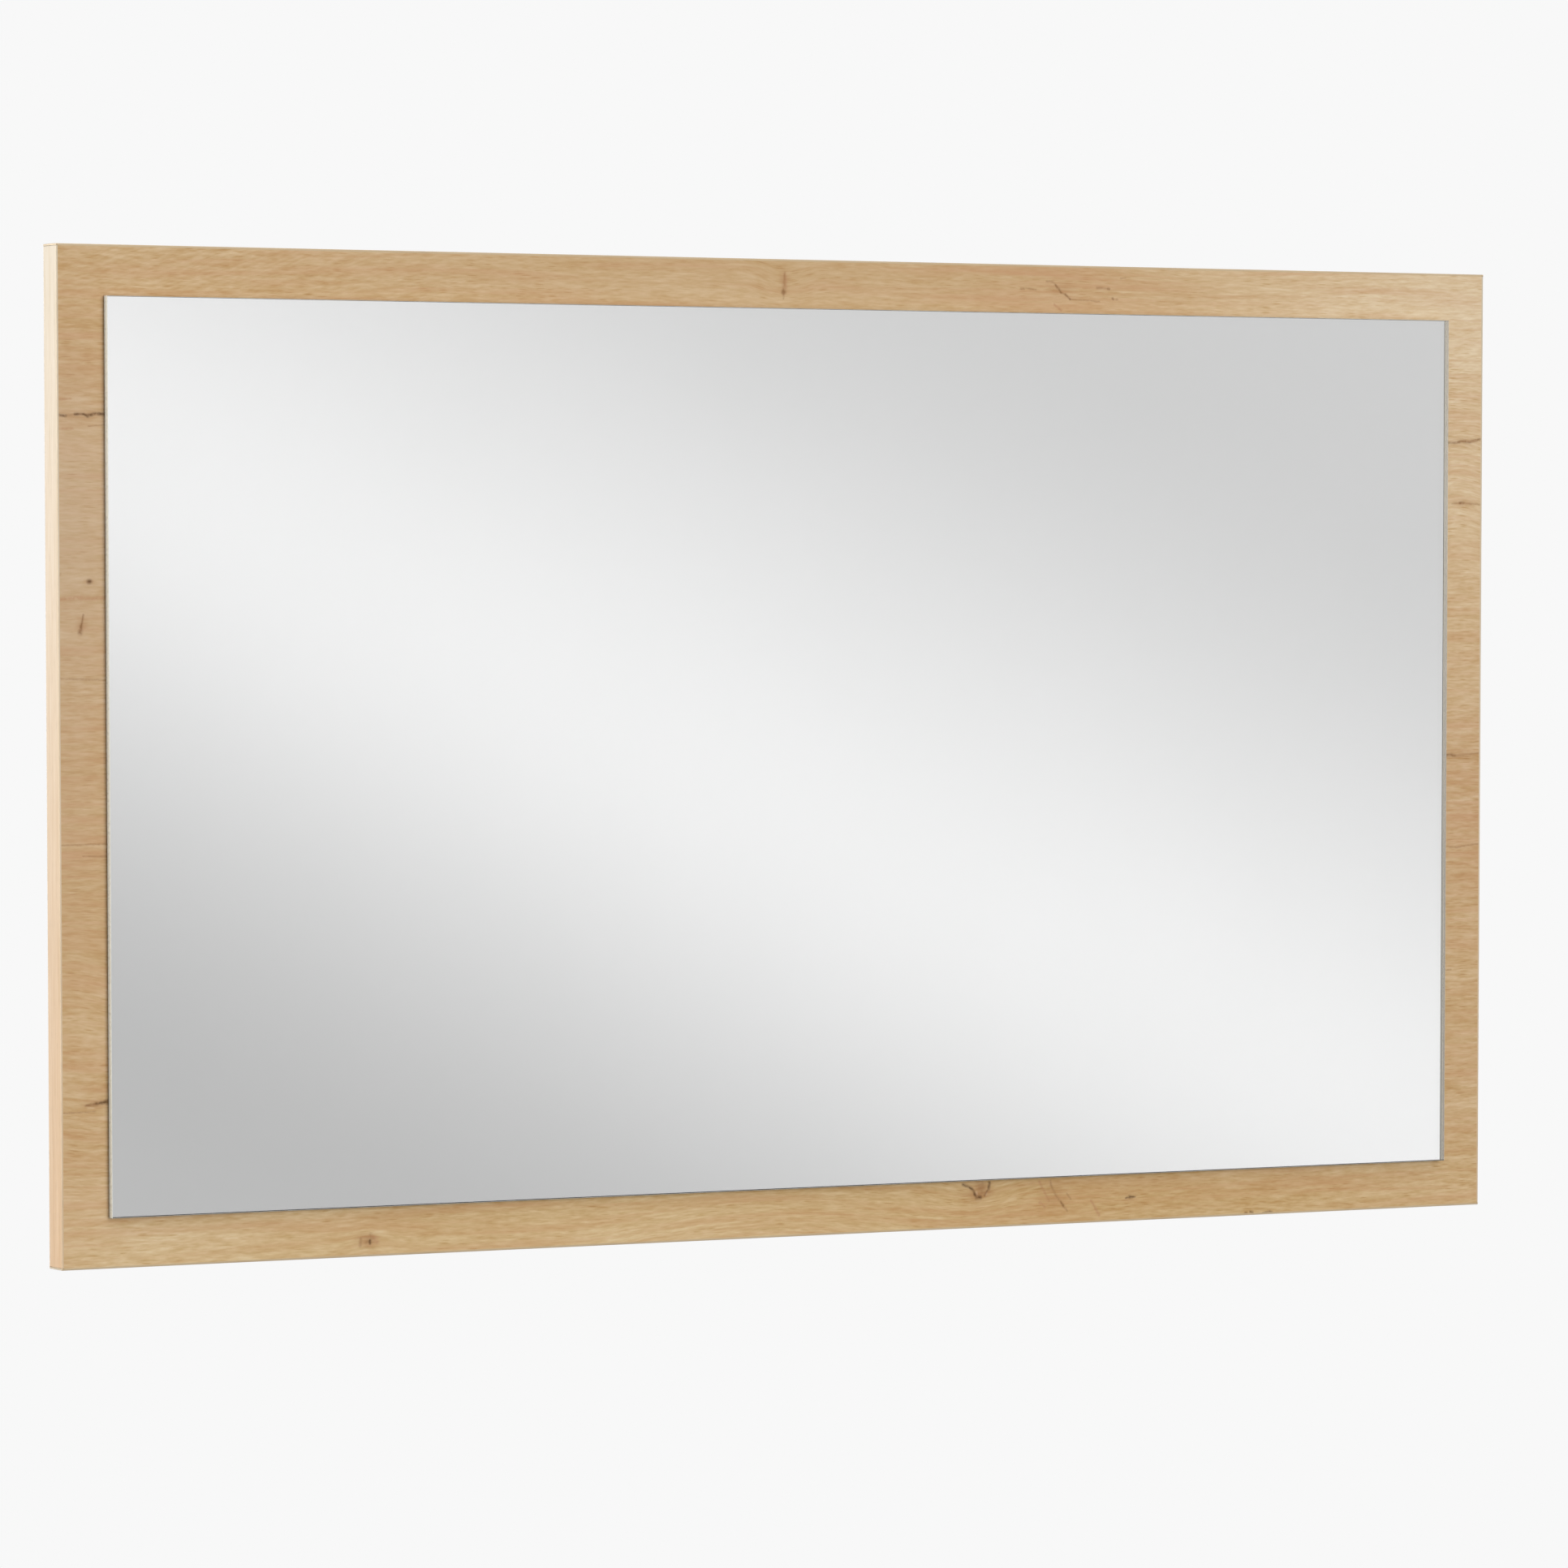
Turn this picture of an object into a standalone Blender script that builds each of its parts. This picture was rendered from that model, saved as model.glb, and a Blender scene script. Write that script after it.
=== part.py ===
"""Wall mirror: a faced chipboard panel with a smaller mirror plate stuck on its front.

Frame: metres, +X to the right and +Z up as seen from the front, +Y into the wall.
The origin is the centre of the panel's back face, so the wall is the plane Y = 0.
"""

from math import acos, cos, pi, sin, tan

import bmesh
import bpy

# Panel, edge bands included
PANEL_WIDTH = 1.000
PANEL_HEIGHT = 0.600
PANEL_THICKNESS = 0.018
BAND_THICKNESS = 0.0010
BAND_ARRIS = 0.0004

# Mirror plate, its backing film and the tape that holds it
MIRROR_MARGIN = 0.030
GLASS_THICKNESS = 0.004
GLASS_ARRIS = 0.0004
FILM_THICKNESS = 0.0002
TAPE_COUNT = 5
TAPE_WIDTH = 0.025
TAPE_THICKNESS = 0.0008
TAPE_SIDE_INSET = 0.040
TAPE_END_INSET = 0.030

# Keyhole hanger plates, let into the panel's back
HANGER_SIDE_INSET = 0.100
HANGER_TOP_INSET = 0.080
PLATE_WIDTH = 0.070
PLATE_HEIGHT = 0.036
PLATE_THICKNESS = 0.0015
PLATE_CORNER = 0.004
PLATE_SINK = 0.0003
RECESS_CLEARANCE = 0.0005
HEAD_HOLE_DIAMETER = 0.011
SLOT_WIDTH = 0.0055
SLOT_TRAVEL = 0.012
POCKET_DEPTH = 0.0105
POCKET_MARGIN = 0.002

# Countersunk screws, two to a hanger plate
SCREW_SPACING = 0.052
SCREW_LENGTH = 0.0125
SCREW_DIAMETER = 0.0035
SCREW_HEAD_DIAMETER = 0.0070
SCREW_HEAD_RIM = 0.0003
SCREW_TIP = 0.003
COUNTERSINK_HALF_ANGLE = pi / 4
CROSS_WIDTH = 0.0009
CROSS_LENGTH = 0.0040
CROSS_DEPTH = 0.0012

# Gaps between solids that touch on the real object, and room round a screw
TOUCH_GAP = 0.0002
FILM_GAP = 0.0001
SCREW_CLEARANCE = 0.0003

# Facets, and how far a cutter reaches past the face it opens
ARC_STEPS = 8
TURN_STEPS = 32
CUT_OVERRUN = 0.004

# What follows from the sizes above
CORE_WIDTH = PANEL_WIDTH - 2 * (BAND_THICKNESS + TOUCH_GAP)
CORE_HEIGHT = PANEL_HEIGHT - 2 * (BAND_THICKNESS + TOUCH_GAP)
MIRROR_WIDTH = PANEL_WIDTH - 2 * MIRROR_MARGIN
MIRROR_HEIGHT = PANEL_HEIGHT - 2 * MIRROR_MARGIN
TAPE_BACK_Y = -PANEL_THICKNESS - TOUCH_GAP
FILM_BACK_Y = TAPE_BACK_Y - TAPE_THICKNESS - TOUCH_GAP
GLASS_BACK_Y = FILM_BACK_Y - FILM_THICKNESS - FILM_GAP
SEAT_Z = PANEL_HEIGHT / 2 - HANGER_TOP_INSET
HEAD_HOLE_Z = SEAT_Z - SLOT_TRAVEL
PLATE_Z = SEAT_Z - (SLOT_TRAVEL + HEAD_HOLE_DIAMETER / 2 - SLOT_WIDTH / 2) / 2
RECESS_FLOOR_Y = -PLATE_SINK - PLATE_THICKNESS - TOUCH_GAP


def clear_scene():
    for old in list(bpy.data.objects):
        bpy.data.objects.remove(old, do_unlink=True)


def make_material(name, colour, roughness, metallic=0.0, transmission=0.0):
    material = bpy.data.materials.new(name)
    material.use_nodes = True
    shader = material.node_tree.nodes["Principled BSDF"]
    shader.inputs["Base Color"].default_value = (*colour, 1.0)
    shader.inputs["Roughness"].default_value = roughness
    shader.inputs["Metallic"].default_value = metallic
    shader.inputs["Transmission Weight"].default_value = transmission
    material.diffuse_color = (*colour, 1.0)
    return material


def extrusion(outline, vector):
    """A closed body: a flat outline of 3-D points swept along a vector."""
    bm = bmesh.new()
    face = bm.faces.new([bm.verts.new(point) for point in outline])
    swept = bmesh.ops.extrude_face_region(bm, geom=[face])
    moved = [item for item in swept["geom"] if isinstance(item, bmesh.types.BMVert)]
    bmesh.ops.translate(bm, verts=moved, vec=vector)
    return bm


def upright_prism(outline, back_y, depth):
    """An outline of (x, z) points from back_y forwards by depth."""
    return extrusion([(x, back_y, z) for x, z in outline], (0.0, -depth, 0.0))


def turned(profile):
    """A closed body turned about the Y axis, from (radius, y) pairs between two poles."""
    bm = bmesh.new()
    verts = [bm.verts.new((radius, y, 0.0)) for radius, y in profile]
    edges = [bm.edges.new(pair) for pair in zip(verts, verts[1:])]
    bmesh.ops.spin(
        bm, geom=verts + edges, axis=(0.0, 1.0, 0.0), cent=(0.0, 0.0, 0.0), steps=TURN_STEPS, angle=2 * pi
    )
    bmesh.ops.remove_doubles(bm, verts=bm.verts, dist=1e-6)
    return bm


def arc(centre, radius, start, end, steps=ARC_STEPS):
    """Points along an arc, both ends included."""
    angles = [start + (end - start) * step / steps for step in range(steps + 1)]
    return [(centre[0] + radius * cos(angle), centre[1] + radius * sin(angle)) for angle in angles]


def rectangle(width, height):
    a, b = width / 2, height / 2
    return [(-a, -b), (a, -b), (a, b), (-a, b)]


def rounded_rectangle(width, height, corner):
    points = []
    for quarter, (side, end) in enumerate(((1, 1), (-1, 1), (-1, -1), (1, -1))):
        centre = (side * (width / 2 - corner), end * (height / 2 - corner))
        points += arc(centre, corner, quarter * pi / 2, (quarter + 1) * pi / 2)
    return points


def keyhole(head_radius, slot_radius, travel):
    """A round head hole about (0, 0) and a narrower slot that ends round (0, travel)."""
    meet = acos(slot_radius / head_radius)
    slot_end = arc((0.0, travel), slot_radius, 0.0, pi)
    return slot_end + arc((0.0, 0.0), head_radius, pi - meet, 2 * pi + meet, 3 * ARC_STEPS)


def round_ended(radius, travel):
    """A slot of one width from (0, 0) up to (0, travel), the shape a router bit leaves."""
    return arc((0.0, travel), radius, 0.0, pi) + arc((0.0, 0.0), radius, pi, 2 * pi)


def cross(length, width):
    a, b = length / 2, width / 2
    right_and_top = [(a, -b), (a, b), (b, b), (b, a), (-b, a), (-b, b)]
    return right_and_top + [(-x, -y) for x, y in right_and_top]


def screw_profile(clearance=0.0, overrun=0.0):
    """Half the outline of a countersunk screw, head face at y = 0 and point forwards.

    With a clearance it is the hole the screw sits in, run on past the head face.
    """
    head = SCREW_HEAD_DIAMETER / 2
    shank = SCREW_DIAMETER / 2
    cone = (head - shank) / tan(COUNTERSINK_HALF_ANGLE)
    return [
        (0.0, overrun),
        (head + clearance, overrun),
        (head + clearance, -SCREW_HEAD_RIM),
        (shank + clearance, -SCREW_HEAD_RIM - cone),
        (shank + clearance, SCREW_TIP - SCREW_LENGTH),
        (0.0, -SCREW_LENGTH - clearance),
    ]


def add_object(name, bm, material, location=(0.0, 0.0, 0.0), smooth_below=None):
    """Puts a bmesh into the scene as one object, its faces turned outwards."""
    bmesh.ops.recalc_face_normals(bm, faces=bm.faces)
    mesh = bpy.data.meshes.new(name)
    bm.to_mesh(mesh)
    bm.free()
    if material is not None:
        mesh.materials.append(material)
    if smooth_below is not None:
        mesh.shade_smooth()
        mesh.set_sharp_from_angle(angle=smooth_below)
    obj = bpy.data.objects.new(name, mesh)
    obj.location = location
    bpy.context.scene.collection.objects.link(obj)
    return obj


def cut(owner, name, bm, location):
    """Takes a shape out of owner; the cutter stays in the scene as a hidden helper."""
    cutter = add_object(name, bm, None, location)
    cutter.hide_render = True
    cutter.display_type = "WIRE"
    boolean = owner.modifiers.new(name, "BOOLEAN")
    boolean.operation = "DIFFERENCE"
    boolean.solver = "EXACT"
    boolean.object = cutter
    return cutter


def band_outline(place):
    """Section of an edge band, its outer arrises rounded; place turns (outwards, y) into a point."""
    depth, arris = PANEL_THICKNESS, BAND_ARRIS
    outer = BAND_THICKNESS - arris
    section = [(0.0, 0.0)]
    section += reversed(arc((outer, -arris), arris, 0.0, pi / 2, 4))
    section += reversed(arc((outer, arris - depth), arris, -pi / 2, 0.0, 4))
    section += [(0.0, -depth)]
    return [place(outwards, y) for outwards, y in section]


def build_edge_bands(material):
    """Short bands at the sides, then long ones that run over their ends."""
    side_x = PANEL_WIDTH / 2 - BAND_THICKNESS
    end_z = PANEL_HEIGHT / 2 - BAND_THICKNESS
    made = []
    for name, sign in (("left", -1), ("right", 1)):
        outline = band_outline(lambda outwards, y: (sign * (side_x + outwards), y, -CORE_HEIGHT / 2))
        made.append(add_object(f"edge_band_{name}", extrusion(outline, (0.0, 0.0, CORE_HEIGHT)), material))
    for name, sign in (("bottom", -1), ("top", 1)):
        outline = band_outline(lambda outwards, y: (-PANEL_WIDTH / 2, y, sign * (end_z + outwards)))
        made.append(add_object(f"edge_band_{name}", extrusion(outline, (PANEL_WIDTH, 0.0, 0.0)), material))
    return made


def build_panel(material):
    outline = rectangle(CORE_WIDTH, CORE_HEIGHT)
    return add_object("backing_panel", upright_prism(outline, 0.0, PANEL_THICKNESS), material)


def build_mirror(glass, silver):
    """The glass plate and the silvered film bonded to its back."""
    outline = rectangle(MIRROR_WIDTH, MIRROR_HEIGHT)
    plate = add_object("mirror_glass", upright_prism(outline, GLASS_BACK_Y, GLASS_THICKNESS), glass)
    arris = plate.modifiers.new("arris", "BEVEL")
    arris.width = GLASS_ARRIS
    arris.segments = 1
    film = add_object("mirror_silver_film", upright_prism(outline, FILM_BACK_Y, FILM_THICKNESS), silver)
    return [plate, film]


def build_tapes(material):
    """Upright strips, evenly spread between the two outer ones."""
    height = MIRROR_HEIGHT - 2 * TAPE_END_INSET
    reach = MIRROR_WIDTH / 2 - TAPE_SIDE_INSET - TAPE_WIDTH / 2
    made = []
    for index in range(TAPE_COUNT):
        x = reach * (2 * index / (TAPE_COUNT - 1) - 1)
        strip = upright_prism(rectangle(TAPE_WIDTH, height), TAPE_BACK_Y, TAPE_THICKNESS)
        made.append(add_object(f"mounting_tape_{index + 1}", strip, material, (x, 0.0, 0.0)))
    return made


def build_hanger(side, sign, panel, metal):
    """One keyhole plate with its two screws, and the recess, pocket and holes they need."""
    x = sign * (PANEL_WIDTH / 2 - HANGER_SIDE_INSET)
    outline = rounded_rectangle(PLATE_WIDTH, PLATE_HEIGHT, PLATE_CORNER)
    at_plate = (x, -PLATE_SINK, PLATE_Z)
    sheet = upright_prism(outline, 0.0, PLATE_THICKNESS)
    plate = add_object(f"hanger_plate_{side}", sheet, metal, at_plate)
    slot = keyhole(HEAD_HOLE_DIAMETER / 2, SLOT_WIDTH / 2, SLOT_TRAVEL)
    through = PLATE_THICKNESS + 2 * CUT_OVERRUN
    at_head = (x, 0.0, HEAD_HOLE_Z)
    helpers = [cut(plate, f"cut_keyhole_{side}", upright_prism(slot, CUT_OVERRUN, through), at_head)]

    room = RECESS_CLEARANCE
    outline = rounded_rectangle(PLATE_WIDTH + 2 * room, PLATE_HEIGHT + 2 * room, PLATE_CORNER + room)
    recess = upright_prism(outline, CUT_OVERRUN, CUT_OVERRUN - RECESS_FLOOR_Y)
    helpers.append(cut(panel, f"cut_recess_{side}", recess, (x, 0.0, PLATE_Z)))
    pocket = round_ended(HEAD_HOLE_DIAMETER / 2 + POCKET_MARGIN, SLOT_TRAVEL)
    pocket = upright_prism(pocket, CUT_OVERRUN, CUT_OVERRUN + POCKET_DEPTH)
    helpers.append(cut(panel, f"cut_pocket_{side}", pocket, at_head))

    screws = []
    for end, way in (("outer", sign), ("inner", -sign)):
        at_screw = (x + way * SCREW_SPACING / 2, -PLATE_SINK - TOUCH_GAP, PLATE_Z)
        for owner, part in ((plate, "plate"), (panel, "panel")):
            hole = turned(screw_profile(SCREW_CLEARANCE, CUT_OVERRUN))
            helpers.append(cut(owner, f"cut_{part}_hole_{side}_{end}", hole, at_screw))
        screw = add_object(f"hanger_screw_{side}_{end}", turned(screw_profile()), metal, at_screw, pi / 6)
        drive = upright_prism(cross(CROSS_LENGTH, CROSS_WIDTH), CUT_OVERRUN, CUT_OVERRUN + CROSS_DEPTH)
        helpers.append(cut(screw, f"cut_drive_{side}_{end}", drive, at_screw))
        screws.append(screw)
    return [plate, *screws, *helpers]


def main():
    clear_scene()
    oak = make_material("oak decor", (0.55, 0.38, 0.21), 0.5)
    band = make_material("oak edge band", (0.78, 0.64, 0.46), 0.45)
    glass = make_material("float glass", (0.90, 0.96, 0.93), 0.0, transmission=1.0)
    silver = make_material("silvering", (0.93, 0.94, 0.94), 0.0, metallic=1.0)
    foam = make_material("foam tape", (0.86, 0.86, 0.84), 0.85)
    zinc = make_material("zinc-plated steel", (0.62, 0.63, 0.65), 0.32, metallic=1.0)

    panel = build_panel(oak)
    made = [panel, *build_edge_bands(band), *build_mirror(glass, silver), *build_tapes(foam)]
    made += build_hanger("left", -1, panel, zinc)
    made += build_hanger("right", 1, panel, zinc)

    mirror = bpy.data.objects.new("wall_mirror", None)
    bpy.context.scene.collection.objects.link(mirror)
    for obj in made:
        obj.parent = mirror


main()
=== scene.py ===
import math

import bmesh
import bpy
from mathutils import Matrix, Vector


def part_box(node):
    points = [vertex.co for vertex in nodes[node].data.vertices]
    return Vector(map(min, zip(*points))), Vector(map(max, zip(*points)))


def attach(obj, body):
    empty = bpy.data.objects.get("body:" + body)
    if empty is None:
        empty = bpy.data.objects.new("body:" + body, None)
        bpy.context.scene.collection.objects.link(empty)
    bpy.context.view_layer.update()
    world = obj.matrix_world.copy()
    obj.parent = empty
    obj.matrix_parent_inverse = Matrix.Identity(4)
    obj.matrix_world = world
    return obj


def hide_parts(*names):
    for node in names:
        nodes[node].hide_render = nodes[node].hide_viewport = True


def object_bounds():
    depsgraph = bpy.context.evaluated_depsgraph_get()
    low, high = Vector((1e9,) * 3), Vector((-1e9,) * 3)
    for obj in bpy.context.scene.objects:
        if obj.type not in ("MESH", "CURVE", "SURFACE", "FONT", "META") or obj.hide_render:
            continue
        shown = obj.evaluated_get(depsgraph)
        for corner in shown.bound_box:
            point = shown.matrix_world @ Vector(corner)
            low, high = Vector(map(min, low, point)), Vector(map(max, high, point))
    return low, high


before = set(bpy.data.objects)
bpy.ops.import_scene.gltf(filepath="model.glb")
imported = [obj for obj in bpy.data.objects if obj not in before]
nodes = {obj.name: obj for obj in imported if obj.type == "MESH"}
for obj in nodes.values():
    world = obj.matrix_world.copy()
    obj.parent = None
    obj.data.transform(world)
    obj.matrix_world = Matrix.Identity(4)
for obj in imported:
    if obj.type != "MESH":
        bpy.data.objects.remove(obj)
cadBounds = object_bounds()
rootBody = "root"
print("frame loaded with", len(nodes), "nodes")

# the board's faces and the plate's faces, all read from the frame
panelLow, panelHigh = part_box("backing_panel")
glassLow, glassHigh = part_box("mirror_glass")
filmLow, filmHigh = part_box("mirror_silver_film")
frontY = panelLow.y
backY = panelHigh.y
middleY = (frontY + backY) / 2
halfDepth = (backY - frontY) / 2
mm = 0.001


# helpers for node trees: a value may be a number, a tuple or another node's socket
def feed(tree, socket, value):
    if isinstance(value, bpy.types.NodeSocket):
        tree.links.new(value, socket)
    elif value is not None:
        socket.default_value = value


def put(tree, kind, inputs=None, **settings):
    node = tree.nodes.new(kind)
    for name, value in settings.items():
        setattr(node, name, value)
    for name, value in (inputs or {}).items():
        feed(tree, node.inputs[name], value)
    return node


def calc(tree, operation, *values, clamp=False):
    node = put(tree, "ShaderNodeMath", operation=operation, use_clamp=clamp)
    for socket, value in zip(node.inputs, values):
        feed(tree, socket, value)
    return node.outputs[0]


def vectorCalc(tree, operation, *values, scale=None):
    node = put(tree, "ShaderNodeVectorMath", operation=operation)
    for socket, value in zip(node.inputs, values):
        feed(tree, socket, value)
    if scale is not None:
        feed(tree, node.inputs["Scale"], scale)
    givesNumber = operation in ("LENGTH", "DOT_PRODUCT", "DISTANCE")
    return node.outputs["Value" if givesNumber else "Vector"]


def centred(tree, value):
    # a pattern's value runs from 0 to 1, about 0.5 on average
    return calc(tree, "SUBTRACT", value, 0.5)


def remap(tree, value, fromMin, fromMax, toMin=0.0, toMax=1.0, smooth=False):
    kind = "SMOOTHSTEP" if smooth else "LINEAR"
    values = {"Value": value, "From Min": fromMin, "From Max": fromMax, "To Min": toMin, "To Max": toMax}
    return put(tree, "ShaderNodeMapRange", values, interpolation_type=kind).outputs["Result"]


def blendColours(tree, factor, first, second):
    node = put(tree, "ShaderNodeMix", data_type="RGBA")
    feed(tree, node.inputs["Factor"], factor)
    feed(tree, node.inputs[6], first)
    feed(tree, node.inputs[7], second)
    return node.outputs[2]


def linear(red, green, blue):
    def one(value):
        value /= 255
        return value / 12.92 if value <= 0.04045 else ((value + 0.055) / 1.055) ** 2.4
    return (one(red), one(green), one(blue), 1.0)


def setStops(ramp, stops):
    # the ramp's own two stops take the first and last place, the others are added between
    ramp.elements[0].position, ramp.elements[1].position = stops[0][0], stops[-1][0]
    ramp.elements[0].color = linear(*stops[0][1])
    ramp.elements[1].color = linear(*stops[-1][1])
    for place, tone in stops[1:-1]:
        ramp.elements.new(place).color = linear(*tone)


def nodeGroup(name, inputs, outputs):
    tree = bpy.data.node_groups.new(name, "ShaderNodeTree")
    for label, kind, value in inputs:
        socket = tree.interface.new_socket(label, in_out="INPUT", socket_type=kind)
        if value is not None:
            socket.default_value = value
    for label, kind in outputs:
        tree.interface.new_socket(label, in_out="OUTPUT", socket_type=kind)
    return tree, tree.nodes.new("NodeGroupInput").outputs, tree.nodes.new("NodeGroupOutput").inputs


def useGroup(tree, group, **values):
    node = put(tree, "ShaderNodeGroup", node_tree=group)
    for name, value in values.items():
        label = "".join(" " + c if c.isupper() else c for c in name)
        feed(tree, node.inputs[label[0].upper() + label[1:]], value)
    return node


def objectPlace(tree):
    return put(tree, "ShaderNodeTexCoord").outputs["Object"]


def addBump(tree, shader, height, strength, depth):
    bump = put(tree, "ShaderNodeBump", {"Strength": strength, "Distance": depth, "Height": height})
    feed(tree, shader.inputs["Normal"], bump.outputs["Normal"])


def newMaterial(name, viewportColour):
    material = bpy.data.materials.new(name)
    material.use_nodes = True
    material.diffuse_color = viewportColour
    tree = material.node_tree
    return material, tree, tree.nodes["Principled BSDF"]


# effects that several finishes use
vector, number = "NodeSocketVector", "NodeSocketFloat"


def makeGrainStreaks():
    # fibres that run along X: long soft streaks, thin across
    tree, given, result = nodeGroup(
        "grainStreaks",
        [("Vector", vector, None), ("Run", number, 0.03), ("Across", number, 0.001),
         ("Layer", number, 0.0), ("Contrast", number, 0.5)],
        [("Streak", number)],
    )
    parts = put(tree, "ShaderNodeSeparateXYZ", {"Vector": given["Vector"]}).outputs
    along = calc(tree, "DIVIDE", parts["X"], given["Run"])
    depth = calc(tree, "MULTIPLY_ADD", parts["Y"], 90.0, given["Layer"])
    across = calc(tree, "DIVIDE", parts["Z"], given["Across"])
    place = put(tree, "ShaderNodeCombineXYZ", {"X": along, "Y": depth, "Z": across}).outputs["Vector"]
    values = {"Vector": place, "Scale": 1.0, "Detail": 2.0, "Roughness": 0.6}
    fibre = centred(tree, put(tree, "ShaderNodeTexNoise", values).outputs[0])
    feed(tree, result["Streak"], calc(tree, "MULTIPLY_ADD", fibre, given["Contrast"], 0.5, clamp=True))
    return tree


def makePoreDashes():
    # open pores: short dark dashes along X, scattered in loose rows
    tree, given, result = nodeGroup(
        "poreDashes",
        [("Vector", vector, None), ("Run", number, 0.008), ("Across", number, 0.0012),
         ("Layer", number, 0.0), ("Share", number, 0.5)],
        [("Pore", number)],
    )
    parts = put(tree, "ShaderNodeSeparateXYZ", {"Vector": given["Vector"]}).outputs
    along = calc(tree, "DIVIDE", parts["X"], given["Run"])
    depth = calc(tree, "MULTIPLY_ADD", parts["Y"], 300.0, given["Layer"])
    across = calc(tree, "DIVIDE", parts["Z"], given["Across"])
    place = put(tree, "ShaderNodeCombineXYZ", {"X": along, "Y": depth, "Z": across}).outputs["Vector"]
    cells = put(tree, "ShaderNodeTexVoronoi", {"Vector": place, "Scale": 1.0}, feature="F1")
    core = remap(tree, cells.outputs["Distance"], 0.42, 0.12, smooth=True)
    pick = put(tree, "ShaderNodeSeparateColor", {"Color": cells.outputs["Color"]}).outputs["Red"]
    chosen = calc(tree, "LESS_THAN", pick, given["Share"])
    feed(tree, result["Pore"], calc(tree, "MULTIPLY", core, chosen))
    return tree


def makeSoftSpot():
    # an oval patch, 1 in the middle and 0 from its rim outwards
    tree, given, result = nodeGroup(
        "softSpot",
        [("Vector", vector, None), ("Centre", vector, None), ("Reach", vector, (0.01, 0.004, 0.01))],
        [("Mask", number)],
    )
    away = vectorCalc(tree, "SUBTRACT", given["Vector"], given["Centre"])
    share = vectorCalc(tree, "DIVIDE", away, given["Reach"])
    distance = vectorCalc(tree, "LENGTH", share)
    feed(tree, result["Mask"], remap(tree, distance, 1.0, 0.0, smooth=True))
    return tree


def makeCrackStroke():
    # a stroke from Start along Along, as wide as Width there and wider by Widening at its end
    tree, given, result = nodeGroup(
        "crackStroke",
        [("Vector", vector, None), ("Start", vector, None), ("Along", vector, (0.01, 0.0, 0.0)),
         ("Unit", vector, (100.0, 0.0, 0.0)), ("Width", number, 0.0005), ("Widening", number, 0.0)],
        [("Mask", number)],
    )
    away = vectorCalc(tree, "SUBTRACT", given["Vector"], given["Start"])
    share = calc(tree, "MAXIMUM", vectorCalc(tree, "DOT_PRODUCT", away, given["Unit"]), 0.0)
    share = calc(tree, "MINIMUM", share, 1.0)
    nearest = vectorCalc(tree, "SCALE", given["Along"], scale=share)
    distance = vectorCalc(tree, "DISTANCE", away, nearest)
    outer = calc(tree, "MULTIPLY_ADD", share, given["Widening"], given["Width"])
    inner = calc(tree, "MULTIPLY", outer, -0.15)
    feed(tree, result["Mask"], remap(tree, distance, outer, inner, smooth=True))
    return tree


def makeUnevenness():
    # slow cloudy change over a surface, about 0.5 on average
    tree, given, result = nodeGroup(
        "unevenness",
        [("Vector", vector, None), ("Size", number, 0.05), ("Layer", number, 0.0),
         ("Contrast", number, 1.0)],
        [("Value", number)],
    )
    place = vectorCalc(tree, "SCALE", given["Vector"], scale=calc(tree, "DIVIDE", 1.0, given["Size"]))
    layer = put(tree, "ShaderNodeCombineXYZ", {"Y": given["Layer"]}).outputs[0]
    place = vectorCalc(tree, "ADD", place, layer)
    values = {"Vector": place, "Scale": 1.0, "Detail": 3.0, "Roughness": 0.55}
    cloud = centred(tree, put(tree, "ShaderNodeTexNoise", values).outputs[0])
    feed(tree, result["Value"], calc(tree, "MULTIPLY_ADD", cloud, given["Contrast"], 0.5, clamp=True))
    return tree


grainStreaks = makeGrainStreaks()
poreDashes = makePoreDashes()
softSpot = makeSoftSpot()
crackStroke = makeCrackStroke()
unevenness = makeUnevenness()
print("shared effects built")


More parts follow.
